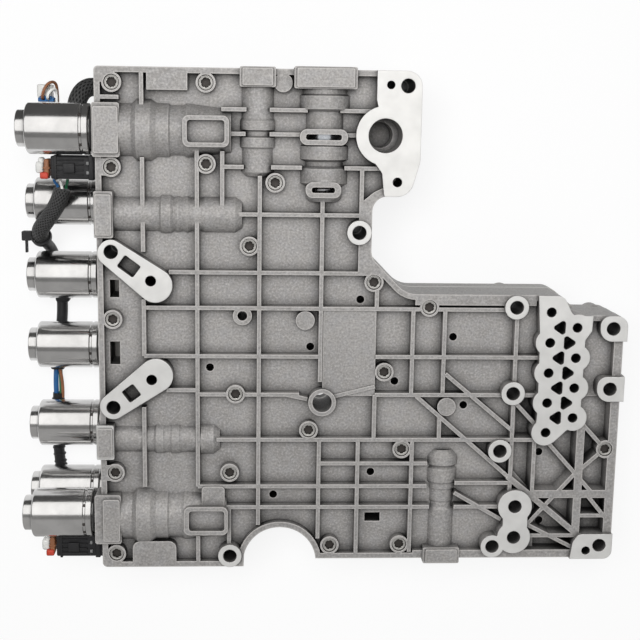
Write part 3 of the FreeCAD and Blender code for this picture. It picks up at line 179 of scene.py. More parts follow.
class BoltLook(bpy.types.PropertyGroup):
    """Sizes of the clamp bolts."""

    head_r: bpy.props.FloatProperty(
        name="Head radius", description="Radius of the round head", default=4.2 * MM, unit="LENGTH")
    head_height: bpy.props.FloatProperty(
        name="Head height", description="Height of the head", default=4.2 * MM, unit="LENGTH")
    shank_r: bpy.props.FloatProperty(
        name="Shank radius", description="Radius of the shank", default=2.5 * MM, unit="LENGTH")
    socket_r: bpy.props.FloatProperty(
        name="Socket radius", description="Outer radius of the six-lobed socket", default=2.85 * MM,
        unit="LENGTH")
    socket_depth: bpy.props.FloatProperty(
        name="Socket depth", description="Depth of the socket", default=2.4 * MM, unit="LENGTH")


class CartridgeLook(bpy.types.PropertyGroup):
    """Sizes of the solenoid cartridges."""

    cap_r: bpy.props.FloatProperty(
        name="Cap radius", description="Radius of the end cap", default=10.8 * MM, unit="LENGTH")
    cap_length: bpy.props.FloatProperty(
        name="Cap length", description="Length of the end cap", default=5.7 * MM, unit="LENGTH")
    back_can: bpy.props.FloatProperty(
        name="Lower can length", description="Length of a can in the lower row", default=39.0 * MM,
        unit="LENGTH")
    front_neck: bpy.props.FloatProperty(
        name="Neck length", description="Length of the neck in the upper row", default=2.2 * MM,
        unit="LENGTH")
    neck_r: bpy.props.FloatProperty(
        name="Neck radius", description="Radius of the neck behind the can", default=12.4 * MM,
        unit="LENGTH")
    nose_r: bpy.props.FloatProperty(
        name="Nose radius", description="Radius of the nose in the casting", default=9.0 * MM,
        unit="LENGTH")
    nose_step: bpy.props.FloatProperty(
        name="Nose step", description="Length of the nose before its tip", default=26.0 * MM,
        unit="LENGTH")
    nose_length: bpy.props.FloatProperty(
        name="Nose length", description="Length of the nose with its tip", default=34.0 * MM,
        unit="LENGTH")
    tip_r: bpy.props.FloatProperty(
        name="Tip radius", description="Radius of the nose tip", default=6.5 * MM, unit="LENGTH")
    shoulder_round: bpy.props.FloatProperty(
        name="Shoulder round", description="Rounding of the can's shoulder", default=1.5 * MM,
        unit="LENGTH")
    crimp_place: bpy.props.FloatProperty(
        name="Crimp place", description="Crimp groove before the can's end", default=5.6 * MM,
        unit="LENGTH")
    crimp_angles: bpy.props.FloatVectorProperty(
        name="Crimp angles", description="Angles of the pressed notches, in degrees", size=4,
        default=(35.0, -12.0, -38.0, 180.0))


class WiringLook(bpy.types.PropertyGroup):
    """Sizes and colours of the wiring."""

    loom_r: bpy.props.FloatProperty(
        name="Top loom radius", description="Radius of the loom at the top", default=5.6 * MM, unit="LENGTH")
    side_loom_r: bpy.props.FloatProperty(
        name="Side loom radius", description="Radius of the loom at the side", default=5.2 * MM,
        unit="LENGTH")
    trunk_r: bpy.props.FloatProperty(
        name="Trunk radius", description="Radius of the ribbed conduit", default=3.6 * MM, unit="LENGTH")
    wire_r: bpy.props.FloatProperty(
        name="Wire radius", description="Radius of a single wire", default=0.9 * MM, unit="LENGTH")
    braid_colour: bpy.props.FloatVectorProperty(
        name="Braid colour", description="Colour of the braided sleeve", subtype="COLOR", size=3,
        default=(0.011, 0.011, 0.011), min=0.0, max=1.0)


class StageLook(bpy.types.PropertyGroup):
    """Lamps and view of the studio."""

    key_power: bpy.props.FloatProperty(
        name="Key power", description="Power of the large lamp over the top edge", default=13.5, unit="POWER")
    fill_power: bpy.props.FloatProperty(
        name="Fill power", description="Power of the lamp over the lower edge", default=2.2, unit="POWER")
    room_glow: bpy.props.FloatProperty(
        name="Room glow", description="Light that comes from all round", default=0.10)
    view_distance: bpy.props.FloatProperty(
        name="View distance", description="Distance from the lens to the ribbed face", default=0.690,
        unit="LENGTH")
    focal_pixels: bpy.props.FloatProperty(
        name="Focal length in pixels", description="Focal length over a frame 640 pixels wide",
        default=1150.0)
    ribbed_face: bpy.props.FloatProperty(
        name="Ribbed face", description="Height of the ribbed face that the view is centred on",
        default=85.0 * MM, unit="LENGTH")


def deselect():
    """Leave edit mode and select nothing."""
    if bpy.context.object and bpy.context.object.mode != "OBJECT":
        bpy.ops.object.mode_set(mode="OBJECT")
    bpy.ops.object.select_all(action="DESELECT")


def select_only(piece):
    deselect()
    piece.select_set(True)
    bpy.context.view_layer.objects.active = piece


def place(piece):
    """Put a piece's place, turn and scale into its mesh."""
    select_only(piece)
    bpy.ops.object.transform_apply(location=True, rotation=True, scale=True)


def finish_piece(piece, name, slot, *materials, body=BODY):
    """Name a piece, put its place in its mesh, give it its materials and set it on its body."""
    place(piece)
    piece.name = name
    piece.data.name = name
    piece.data.materials.clear()
    for material in materials:
        piece.data.materials.append(material)
    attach(piece, body)
    return piece


def apply_modifier(piece, kind, **settings):
    """Add one modifier with its settings and apply it."""
    select_only(piece)
    modifier = piece.modifiers.new(kind.title(), kind)
    for key, value in settings.items():
        setattr(modifier, key, value)
    bpy.ops.object.modifier_apply(modifier=modifier.name)


def round_edges(piece, width, segments=2, angle=30.0):
    apply_modifier(piece, "BEVEL", width=width, segments=segments, limit_method="ANGLE",
                   angle_limit=math.radians(angle), harden_normals=False)


def smooth(piece, angle=35.0):
    select_only(piece)
    bpy.ops.object.shade_smooth_by_angle(angle=math.radians(angle))


def close_outward():
    """Turn every face of the mesh in edit mode outward and leave edit mode."""
    bpy.ops.mesh.select_all(action="SELECT")
    bpy.ops.mesh.normals_make_consistent(inside=False)
    bpy.ops.object.mode_set(mode="OBJECT")


def joined(pieces):
    """Several meshes made one."""
    deselect()
    for piece in pieces:
        piece.select_set(True)
    bpy.context.view_layer.objects.active = pieces[0]
    if len(pieces) > 1:
        bpy.ops.object.join()
    return bpy.context.object


def rounded_block(low, high, edge):
    """A block between two corners with its edges rounded."""
    deselect()
    size = [b - a for a, b in zip(low, high)]
    centre = [(a + b) / 2 for a, b in zip(low, high)]
    bpy.ops.mesh.primitive_cube_add(size=1.0, location=centre, scale=size)
    block = bpy.context.object
    place(block)
    round_edges(block, min(edge, 0.45 * min(size)), 3)
    return block


def clusters(node, reach):
    """Lowest and highest corners of the separate solids in a CAD node, told apart by their XY place."""
    found = []
    for vertex in frame["nodes"][node].data.vertices:
        point = vertex.co
        for low, high in found:
            if low.x - reach < point.x < high.x + reach and low.y - reach < point.y < high.y + reach:
                low.x, low.y, low.z = min(low.x, point.x), min(low.y, point.y), min(low.z, point.z)
                high.x, high.y, high.z = max(high.x, point.x), max(high.y, point.y), max(high.z, point.z)
                break
        else:
            found.append((point.copy(), point.copy()))
    return found


# Materials

def blank(name):
    """A new node material: its nodes, links and surface shader."""
    material = bpy.data.materials.new(name)
    material.use_nodes = True
    nodes = material.node_tree.nodes
    return material, nodes, material.node_tree.links, nodes["Principled BSDF"]


def noise(nodes, links, place_node, scale, detail=3.0, roughness=0.55, distortion=0.0):
    node = nodes.new("ShaderNodeTexNoise")
    node.inputs["Scale"].default_value = scale
    node.inputs["Detail"].default_value = detail
    node.inputs["Roughness"].default_value = roughness
    node.inputs["Distortion"].default_value = distortion
    links.new(place_node.outputs["Object"], node.inputs["Vector"])
    return node.outputs["Fac"]


def ramp(nodes, links, value, low, high, low_out=0.0, high_out=1.0):
    """The value, stretched from one range to another and held inside it."""
    node = nodes.new("ShaderNodeMapRange")
    node.inputs["From Min"].default_value = low
    node.inputs["From Max"].default_value = high
    node.inputs["To Min"].default_value = low_out
    node.inputs["To Max"].default_value = high_out
    links.new(value, node.inputs["Value"])
    return node.outputs["Result"]


def arithmetic(nodes, links, operation, first, second):
    node = nodes.new("ShaderNodeMath")
    node.operation = operation
    for socket, value in zip(node.inputs, (first, second)):
        if isinstance(value, (int, float)):
            socket.default_value = value
        else:
            links.new(value, socket)
    return node.outputs[0]


def blend_colour(nodes, links, share, first, second, blend_type="MIX"):
    """Two colours mixed; each is a tuple or a socket, and so is the share."""
    node = nodes.new("ShaderNodeMix")
    node.data_type = "RGBA"
    node.blend_type = blend_type
    for socket, value in ((node.inputs["Factor"], share), (node.inputs[6], first), (node.inputs[7], second)):
        if isinstance(value, bpy.types.NodeSocket):
            links.new(value, socket)
        elif isinstance(value, (int, float)):
            socket.default_value = value
        else:
            socket.default_value = (*value, 1.0)
    return node.outputs[2]


def bumped(nodes, links, height, strength, distance, under=None):
    """A bump from a height, laid over the normal given as under."""
    node = nodes.new("ShaderNodeBump")
    node.inputs["Strength"].default_value = strength
    node.inputs["Distance"].default_value = distance
    links.new(height, node.inputs["Height"])
    if under is not None:
        links.new(under, node.inputs["Normal"])
    return node.outputs["Normal"]


def rounded_normal(nodes, radius):
    node = nodes.new("ShaderNodeBevel")
    node.samples = 6
    node.inputs["Radius"].default_value = radius
    return node.outputs["Normal"]


def openness(nodes, links, distance, low, high, darkest, inside=False):
    """1 on open faces, down to darkest in hollows, or on edges when read from inside the solid."""
    node = nodes.new("ShaderNodeAmbientOcclusion")
    node.samples = 8
    node.inside = inside
    node.only_local = True
    node.inputs["Distance"].default_value = distance
    return ramp(nodes, links, node.outputs["AO"], low, high, darkest, 1.0)


def darkened(nodes, links, colour, share):
    """A colour multiplied by a share, given as a socket."""
    grey = nodes.new("ShaderNodeCombineColor")
    for socket in grey.inputs[:3]:
        links.new(share, socket)
    return blend_colour(nodes, links, 1.0, colour, grey.outputs["Color"], "MULTIPLY")


def scaled(colour, share):
    return tuple(channel * share for channel in colour)


def mottled(nodes, links, value, low, high, colour, dark, bright):
    """A colour that runs with the value from a dark share of itself to a bright one."""
    share = ramp(nodes, links, value, low, high)
    return blend_colour(nodes, links, share, scaled(colour, dark), scaled(colour, bright))


def cast_aluminium(look):
    """Sand-grey cast skin, mottled and pebbled, lighter on its convex edges as wear and painted highlight,
    darkened in creases and hollows by painted shade, with milled pads.
    """
    material, nodes, links, shader = blank("cast_aluminium")
    spot = nodes.new("ShaderNodeTexCoord")
    geometry = nodes.new("ShaderNodeNewGeometry")
    split = nodes.new("ShaderNodeSeparateXYZ")
    links.new(spot.outputs["Object"], split.inputs["Vector"])
    facing = nodes.new("ShaderNodeSeparateXYZ")
    links.new(geometry.outputs["True Normal"], facing.inputs["Vector"])
    away = arithmetic(nodes, links, "SUBTRACT", split.outputs["Z"], look.pad_level)
    away = arithmetic(nodes, links, "ABSOLUTE", away, 0.0)
    level = arithmetic(nodes, links, "LESS_THAN", away, 0.08 * MM)
    flat = arithmetic(nodes, links, "GREATER_THAN", facing.outputs["Z"], 0.99)
    milled = arithmetic(nodes, links, "MULTIPLY", level, flat)
    away = nodes.new("ShaderNodeVectorMath")
    away.operation = "DISTANCE"
    links.new(spot.outputs["Object"], away.inputs[0])
    away.inputs[1].default_value = CAST_BOSS
    clear = arithmetic(nodes, links, "GREATER_THAN", away.outputs["Value"], look.cast_boss_r)
    milled = arithmetic(nodes, links, "MULTIPLY", milled, clear)

    cloud = noise(nodes, links, spot, 30.0, 3.0)
    patch = noise(nodes, links, spot, 150.0, 4.0, 0.6)
    speck = noise(nodes, links, spot, 760.0, 3.0, 0.62)
    skin = look.skin_colour
    base = mottled(nodes, links, cloud, 0.35, 0.65, skin, 0.90, 1.10)
    cool = (skin[0] * 1.04, skin[1] * 1.06, skin[2] * 1.10)
    base = blend_colour(nodes, links, ramp(nodes, links, patch, 0.40, 0.66, 0.0, 0.7), base, cool)
    dark_specks = ramp(nodes, links, speck, 0.50, 0.30, 0.0, 0.62)
    base = blend_colour(nodes, links, dark_specks, base, scaled(skin, 0.60))
    bright_specks = ramp(nodes, links, speck, 0.53, 0.70, 0.0, 0.62)
    base = blend_colour(nodes, links, bright_specks, base, scaled(skin, 1.6))
    # Painted highlight, partly edge wear: convex edges, found by occlusion read from inside the solid, are
    # lightened to 1.75 times the skin.
    edge = openness(nodes, links, 0.8 * MM, 0.55, 1.0, 0.0, inside=True)
    base = blend_colour(nodes, links, edge, scaled(skin, 1.75), base)
    mill_noise = noise(nodes, links, spot, 90.0, 2.0)
    pad = look.machined_colour
    pad_base = mottled(nodes, links, mill_noise, 0.3, 0.7, pad, 0.93, 1.06)
    colour = blend_colour(nodes, links, milled, base, pad_base)
    # Painted shade: creases and recesses darkened by a short occlusion, deep holes and pockets made nearly
    # black by a long one.
    painted_crease_shade = openness(nodes, links, 7.5 * MM, 0.28, 0.93, 0.26)
    painted_hollow_shade = openness(nodes, links, 16 * MM, 0.08, 0.40, 0.04)
    colour = darkened(nodes, links, darkened(nodes, links, colour, painted_crease_shade), painted_hollow_shade)
    links.new(colour, shader.inputs["Base Color"])

    grain = noise(nodes, links, spot, 1500.0, 2.0, 0.6)
    peel = noise(nodes, links, spot, 420.0, 3.0, 0.5)
    rough_skin = arithmetic(nodes, links, "SUBTRACT", 1.0, milled)
    grain_height = arithmetic(nodes, links, "MULTIPLY", grain, rough_skin)
    peel_height = arithmetic(nodes, links, "MULTIPLY", peel, rough_skin)
    normal = rounded_normal(nodes, look.edge_round)
    normal = bumped(nodes, links, peel_height, 0.45, 0.6 * MM, normal)
    normal = bumped(nodes, links, grain_height, 0.32, 0.20 * MM, normal)
    arcs = nodes.new("ShaderNodeTexWave")
    arcs.wave_type = "RINGS"
    arcs.rings_direction = "Z"
    arcs.inputs["Scale"].default_value = 330.0
    arcs.inputs["Distortion"].default_value = 0.4
    shift = nodes.new("ShaderNodeMapping")
    shift.inputs["Location"].default_value = (-0.21, 0.05, 0.0)
    links.new(spot.outputs["Object"], shift.inputs["Vector"])
    links.new(shift.outputs["Vector"], arcs.inputs["Vector"])
    arc_height = arithmetic(nodes, links, "MULTIPLY", arcs.outputs["Fac"], milled)
    normal = bumped(nodes, links, arc_height, 0.10, 0.05 * MM, normal)
    links.new(normal, shader.inputs["Normal"])
    links.new(ramp(nodes, links, milled, 0.0, 1.0, 0.55, 0.36), shader.inputs["Roughness"])
    shader.inputs["Metallic"].default_value = 0.45
    shader.inputs["Specular IOR Level"].default_value = 0.4
    return material


def turned_steel(name, colour, roughness, ring_scale, axis="X", metallic=1.0, marks=0.12):
    """Bright steel with the fine turning marks left round its axis, darkened by painted shade in its
    recesses.
    """
    material, nodes, links, shader = blank(name)
    spot = nodes.new("ShaderNodeTexCoord")
    rings = nodes.new("ShaderNodeTexWave")
    rings.wave_type = "BANDS"
    rings.bands_direction = axis
    rings.inputs["Scale"].default_value = ring_scale
    rings.inputs["Distortion"].default_value = 0.6
    rings.inputs["Detail"].default_value = 2.0
    links.new(spot.outputs["Object"], rings.inputs["Vector"])
    stain = noise(nodes, links, spot, 60.0, 4.0)
    tone = mottled(nodes, links, stain, 0.35, 0.65, colour, 0.88, 1.06)
    # Painted shade: recesses and corners darkened by occlusion.
    tone = darkened(nodes, links, tone, openness(nodes, links, 3 * MM, 0.25, 0.9, 0.30))
    links.new(tone, shader.inputs["Base Color"])
    smear = noise(nodes, links, spot, 900.0, 3.0)
    rough = ramp(nodes, links, smear, 0.3, 0.7, roughness * 0.8, roughness * 1.25)
    links.new(rough, shader.inputs["Roughness"])
    normal = rounded_normal(nodes, 0.35 * MM)
    normal = bumped(nodes, links, rings.outputs["Fac"], marks, 0.03 * MM, normal)
    links.new(normal, shader.inputs["Normal"])
    shader.inputs["Metallic"].default_value = metallic
    return material


def moulded_plastic(name, colour, roughness):
    """Moulded plastic with a faint spark-eroded grain."""
    material, nodes, links, shader = blank(name)
    spot = nodes.new("ShaderNodeTexCoord")
    cloud = noise(nodes, links, spot, 180.0, 3.0)
    tone = mottled(nodes, links, cloud, 0.3, 0.7, colour, 0.82, 1.12)
    links.new(tone, shader.inputs["Base Color"])
    grain = noise(nodes, links, spot, 3200.0, 2.0)
    normal = bumped(nodes, links, grain, 0.25, 0.05 * MM, rounded_normal(nodes, 0.3 * MM))
    links.new(normal, shader.inputs["Normal"])
    smear = noise(nodes, links, spot, 400.0, 2.0)
    rough = ramp(nodes, links, smear, 0.3, 0.7, roughness * 0.85, roughness * 1.15)
    links.new(rough, shader.inputs["Roughness"])
    return material


def braided_sleeve(look):
    """Black woven sleeve: two sets of strands that cross round the loom, on the tube's own UV map."""
    material, nodes, links, shader = blank("loom_braid")
    uv = nodes.new("ShaderNodeTexCoord")
    heights = []
    for turn in (-1.0, 1.0):
        lay = nodes.new("ShaderNodeMapping")
        lay.inputs["Rotation"].default_value = (0.0, 0.0, turn * math.radians(45.0))
        links.new(uv.outputs["UV"], lay.inputs["Vector"])
        strand = nodes.new("ShaderNodeTexWave")
        strand.wave_type = "BANDS"
        strand.bands_direction = "X"
        strand.inputs["Scale"].default_value = 7.0
        links.new(lay.outputs["Vector"], strand.inputs["Vector"])
        heights.append(strand.outputs["Fac"])
    weave = arithmetic(nodes, links, "MAXIMUM", *heights)
    # Painted sheen and shade: strand tops lighter and the gaps between them darker.
    tone = mottled(nodes, links, weave, 0.2, 1.0, look.braid_colour, 0.35, 5.0)
    links.new(tone, shader.inputs["Base Color"])
    links.new(bumped(nodes, links, weave, 0.9, 0.5 * MM), shader.inputs["Normal"])
    shader.inputs["Roughness"].default_value = 0.5
    shader.inputs["Specular IOR Level"].default_value = 0.3
    return material


MATERIALS = {}

# Plastics: name, colour, roughness
PLASTICS = (
    ("black", (0.009, 0.009, 0.010), 0.5),
    ("white", (0.80, 0.80, 0.77), 0.35),
    ("red", (0.42, 0.045, 0.025), 0.42),
    ("brown", (0.23, 0.095, 0.045), 0.42),
    ("blue", (0.02, 0.10, 0.26), 0.42),
    ("green", (0.02, 0.13, 0.06), 0.42),
    ("grey", (0.16, 0.16, 0.16), 0.42),
    ("clear", (0.62, 0.62, 0.60), 0.25),
)


def finish(name):
    return MATERIALS[name]


def make_materials(scene):
    """Every finish, made once."""
    MATERIALS["cast"] = cast_aluminium(scene.valve_body_casting)
    MATERIALS["plate"] = turned_steel("rolled_steel", (0.50, 0.49, 0.47), 0.38, 140.0)
    MATERIALS["bolt"] = turned_steel("bolt_steel", (0.44, 0.43, 0.41), 0.40, 500.0, "Z", 0.7)
    # Dark steel for bolt sockets and can notches: painted shade where the recess stands.
    MATERIALS["socket"] = turned_steel("painted_shade_steel", (0.050, 0.044, 0.040), 0.45, 400.0, "Z", 0.5)
    MATERIALS["ground"] = turned_steel("ground_steel", (0.70, 0.70, 0.70), 0.14, 900.0)
    MATERIALS["can"] = turned_steel("can_steel", (0.62, 0.615, 0.61), 0.17, 260.0, marks=0.02)
    MATERIALS["spool"] = turned_steel("anodised_spool", (0.42, 0.44, 0.47), 0.30, 420.0)
    MATERIALS["spring"] = turned_steel("spring_wire", (0.30, 0.30, 0.31), 0.30, 700.0)
    for name, colour, roughness in PLASTICS:
        MATERIALS[name] = moulded_plastic(name + "_plastic", colour, roughness)
    MATERIALS["rubber"] = moulded_plastic("seal_rubber", (0.016, 0.016, 0.016), 0.6)
    MATERIALS["braid"] = braided_sleeve(scene.valve_body_wiring)


def dress(node, material):
    """Give a CAD node its finish."""
    slots = frame["nodes"][node].data.materials
    slots.clear()
    slots.append(material)


# Pieces

class VALVEBODY_OT_castings(bpy.types.Operator):
    """Cast and milled finish on both castings and the plate between them"""

    bl_idname = "valve_body.castings"
    bl_label = "Castings"

    def execute(self, context):
        for node in ("upper_casting", "lower_casting"):
            dress(node, finish("cast"))
        dress("separator_plate", finish("plate"))
        for node in ("check_balls", "dowel_pins"):
            dress(node, finish("ground"))
        return {"FINISHED"}


def lobed_cutter(look, top):
    """A six-lobed prism that cuts the socket."""
    points = 24
    bpy.ops.mesh.primitive_circle_add(vertices=points, radius=look.socket_r, fill_type="NGON",
                                      location=(0, 0, top - look.socket_depth))
    cutter = bpy.context.object
    for vertex in cutter.data.vertices:
        vertex.select = vertex.index % 4 == 2
    for edge in cutter.data.edges:
        edge.select = False
    for face in cutter.data.polygons:
        face.select = False
    bpy.ops.object.mode_set(mode="EDIT")
    bpy.ops.mesh.select_mode(type="VERT")
    bpy.ops.transform.resize(value=(0.84, 0.84, 1.0))
    bpy.ops.mesh.select_all(action="SELECT")
    bpy.ops.mesh.extrude_region_move(TRANSFORM_OT_translate={"value": (0, 0, 2 * look.socket_depth)})
    close_outward()
    return cutter


def clamp_bolt(look, shank_length):
    """One round-headed bolt with a six-lobed socket, its head's top at z = 0."""
    deselect()
    bpy.ops.mesh.primitive_cylinder_add(vertices=48, radius=look.head_r, depth=look.head_height,
                                        location=(0, 0, -look.head_height / 2))
    bolt = bpy.context.object
    place(bolt)
    bpy.ops.object.mode_set(mode="EDIT")
    bpy.ops.mesh.select_mode(type="FACE")
    bpy.ops.mesh.select_all(action="DESELECT")
    bpy.ops.object.mode_set(mode="OBJECT")
    for face in bolt.data.polygons:
        face.select = face.normal.z < -0.9
    bpy.ops.object.mode_set(mode="EDIT")
    bpy.ops.mesh.inset(thickness=look.head_r - look.shank_r)
    bpy.ops.mesh.extrude_region_move(TRANSFORM_OT_translate={"value": (0, 0, -shank_length)})
    bpy.ops.object.mode_set(mode="OBJECT")
    for face in bolt.data.polygons:
        face.select = face.normal.z > 0.9
    bpy.ops.object.mode_set(mode="EDIT")
    rim_width = 0.5 * MM
    dish_width = 0.25 * MM
    dish_depth = 0.18 * MM
    bpy.ops.mesh.inset(thickness=rim_width, depth=0.0)
    bpy.ops.mesh.inset(thickness=dish_width, depth=-dish_depth)
    bpy.ops.object.mode_set(mode="OBJECT")
    cutter = lobed_cutter(look, 0.0)
    select_only(bolt)
    modifier = bolt.modifiers.new("Socket", "BOOLEAN")
    modifier.operation = "DIFFERENCE"
    modifier.solver = "EXACT"
    modifier.object = cutter
    bpy.ops.object.modifier_apply(modifier=modifier.name)
    bpy.data.objects.remove(cutter)
    round_edges(bolt, 0.28 * MM, 2, 50.0)
    smooth(bolt, 35.0)
    return bolt


def paint_socket_shade(bolt, look):
    """The socket's walls and floor take the second material, a dark steel that paints the socket's shade."""
    for face in bolt.data.polygons:
        centre = face.center
        inside = math.hypot(centre.x, centre.y) < look.socket_r * 1.02
        face.material_index = 1 if inside and -look.head_height < centre.z < -0.3 * MM else 0


class VALVEBODY_OT_clamp_bolts(bpy.types.Operator):
    """Clamp bolts with lobed sockets in the bosses of the upper casting"""

    bl_idname = "valve_body.clamp_bolts"
    bl_label = "Clamp bolts"

    def execute(self, context):
        look = context.scene.valve_body_bolts
        places = clusters("clamp_bolts", 4 * MM)
        low, high = places[0]
        shank_length = high.z - low.z - look.head_height
        pattern = clamp_bolt(look, shank_length)
        pattern.data.materials.append(finish("bolt"))
        pattern.data.materials.append(finish("socket"))
        paint_socket_shade(pattern, look)
        for number, (low, high) in enumerate(places, 1):
            centre = (low + high) / 2
            bolt = pattern.copy()
            bolt.data = pattern.data.copy()
            context.collection.objects.link(bolt)
            bolt.matrix_world = (Matrix.Translation((centre.x, centre.y, high.z))
                                 @ Matrix.Rotation(math.radians(37.0 * number), 4, "Z"))
            place(bolt)
            bolt.name = f"clamp_bolt_{number:02d}"
            bolt.data.name = bolt.name
            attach(bolt, BODY)
            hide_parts("clamp_bolts")
        bpy.data.objects.remove(pattern)
        return {"FINISHED"}


def turned_along_x(name, start, stations, sides=96):
    """A solid of revolution about an axis along X: stations are (distance from start, radius)."""
    deselect()
    x, y, z = start
    first, radius = stations[0]
    bpy.ops.mesh.primitive_circle_add(vertices=sides, radius=radius, fill_type="NGON",
                                      location=(x + first, y, z), rotation=(0, math.pi / 2, 0))
    piece = bpy.context.object
    bpy.ops.object.mode_set(mode="EDIT")
    bpy.ops.mesh.select_all(action="SELECT")
    for (before, radius_before), (here, radius_here) in zip(stations, stations[1:]):
        bpy.ops.mesh.extrude_region_move(TRANSFORM_OT_translate={"value": (here - before, 0, 0)})
        share = radius_here / radius_before
        bpy.ops.transform.resize(value=(1.0, share, share), center_override=(x + here, y, z))
    close_outward()
    piece.name = name
    return piece


def shoulder(at, low_r, high_r, width, steps=4):
    """Stations of a rounded shoulder that rises from one radius to a larger one."""
    rise = min(width, high_r - low_r)
    stations = [(at, high_r - rise)]
    for step in range(1, steps + 1):
        angle = math.pi / 2 * step / steps
        stations.append((at + width * (1 - math.cos(angle)), high_r - rise * (1 - math.sin(angle))))
    return stations


class VALVEBODY_OT_cartridges(bpy.types.Operator):
    """Solenoid cartridges: a stepped cap, a drawn can with a crimped end, a seal and a stepped nose"""

    bl_idname = "valve_body.cartridges"
    bl_label = "Cartridges"

    def execute(self, context):
        look = context.scene.valve_body_cartridges
        for node in FRONT_SOLENOIDS + BACK_SOLENOIDS:
            low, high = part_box(node)
            can_r = (high.y - low.y) / 2
            end = high.x - look.nose_length
            neck = end - low.x - look.back_can - look.cap_length
            if node in FRONT_SOLENOIDS:
                neck = look.front_neck
            can_start = look.cap_length
            can_end = end - low.x - neck
            start = (low.x, (low.y + high.y) / 2, (low.z + high.z) / 2)
            groove = can_end - look.crimp_place
            groove_depth = 0.45 * MM
            tip_chamfer = 0.6 * MM
            stations = [(0.0, look.cap_r - 1.9 * MM), (0.0, look.cap_r - 1.0 * MM)]
            stations += shoulder(0.0, look.cap_r - 1.0 * MM, look.cap_r, 0.7 * MM)
            stations += [(can_start - 0.5 * MM, look.cap_r), (can_start - 0.4 * MM, look.cap_r - 0.3 * MM),
                         (can_start, look.cap_r - 0.3 * MM), (can_start, can_r - look.shoulder_round)]
            stations += shoulder(can_start, can_r - look.shoulder_round, can_r, look.shoulder_round, 6)
            stations += [(groove, can_r), (groove + 0.5 * MM, can_r - groove_depth),
                         (groove + 1.5 * MM, can_r - groove_depth), (groove + 2.0 * MM, can_r),
                         (can_end - 0.6 * MM, can_r), (can_end - 0.1 * MM, can_r - 0.5 * MM),
                         (can_end, can_r - 0.9 * MM), (can_end, look.neck_r), (end - low.x, look.neck_r),
                         (end - low.x, look.nose_r), (end - low.x + look.nose_step, look.nose_r),
                         (end - low.x + look.nose_step, look.tip_r),
                         (high.x - low.x - tip_chamfer, look.tip_r),
                         (high.x - low.x, look.tip_r - tip_chamfer)]
            can = turned_along_x(node + "_can", start, stations)
            finish_piece(can, node + "_can", "can_steel", finish("can"))
            smooth(can, 28.0)
            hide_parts(node)
            self.crimps(node, start, groove + 1.0 * MM, can_r, look)
            seal_x = low.x + can_end + neck / 2
            ring_along_x(node + "_seal", seal_x, start[1], start[2], look.neck_r + 0.15 * MM, 0.75 * MM)
        return {"FINISHED"}

    def crimps(self, node, start, at, can_r, look):
        """Pressed notches round the end of the can, as dark discs that paint their shade."""
        pieces = []
        reach = can_r - 0.5 * MM
        for angle in look.crimp_angles:
            turn = math.radians(angle)
            deselect()
            centre = (start[0] + at, start[1] + reach * math.sin(turn), start[2] + reach * math.cos(turn))
            bpy.ops.mesh.primitive_cylinder_add(vertices=20, radius=0.95 * MM, depth=1.0 * MM,
                                                location=centre, rotation=(-turn, 0, 0))
            notch = bpy.context.object
            place(notch)
            round_edges(notch, 0.2 * MM)
            pieces.append(notch)
        # The dark steel on the notches is painted shade.
        finish_piece(joined(pieces), node + "_notches", "can_steel", finish("socket"))


def ring_along_x(name, x, y, z, radius, thickness):
    """A round seal about an axis along X."""
    deselect()
    bpy.ops.mesh.primitive_torus_add(major_radius=radius, minor_radius=thickness, major_segments=72,
                                     minor_segments=12, location=(x, y, z), rotation=(0, math.pi / 2, 0))
    ring = bpy.context.object
    finish_piece(ring, name, "black_plastic", finish("rubber"))
    smooth(ring, 60.0)
    return ring


class VALVEBODY_OT_valves(bpy.types.Operator):
    """Finish of the spools, springs, end plugs and snap rings"""

    bl_idname = "valve_body.valves"
    bl_label = "Valves"

    def execute(self, context):
        for valve in VALVES:
            dress(valve, finish("spool"))
            dress(valve + "_plug", finish("spool"))
            dress(valve + "_spring", finish("spring"))
            dress(valve + "_ring", finish("spring"))
        return {"FINISHED"}


def housing(node, name, ribs, rib_axis, colour, slot, trim=0.0):
    """A plug housing in the space of the CAD node it replaces, with raised ribs along its faces."""
    low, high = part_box(node)
    high = high.copy()
    high.z -= trim
    inset = 0.55 * MM
    body_low = [low.x + inset, low.y + inset, low.z + inset]
    body_high = [high.x - inset, high.y - inset, high.z - inset]
    pieces = [rounded_block(body_low, body_high, 1.1 * MM)]
    for share, width in ribs:
        rib_low, rib_high = [low.x, low.y, low.z], [high.x, high.y, high.z]
        middle = low[rib_axis] + share * (high[rib_axis] - low[rib_axis])
        rib_low[rib_axis] = middle - width / 2
        rib_high[rib_axis] = middle + width / 2
        pieces.append(rounded_block(rib_low, rib_high, 0.4 * MM))
    piece = finish_piece(joined(pieces), name, slot, finish(colour))
    smooth(piece, 40.0)
    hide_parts(node)
    return piece


def block_piece(name, colour, slot, blocks, low_from=(0.0, 0.0, 0.0), high_from=None):
    """Rounded blocks joined into one piece, their low and high corners counted from two points."""
    high_from = high_from or low_from
    pieces = [rounded_block([(value + base) * MM for value, base in zip(low, low_from)],
                            [(value + base) * MM for value, base in zip(high, high_from)], edge * MM)
              for low, high, edge in blocks]
    piece = finish_piece(joined(pieces), name, slot, finish(colour))
    smooth(piece, 40.0)
    return piece


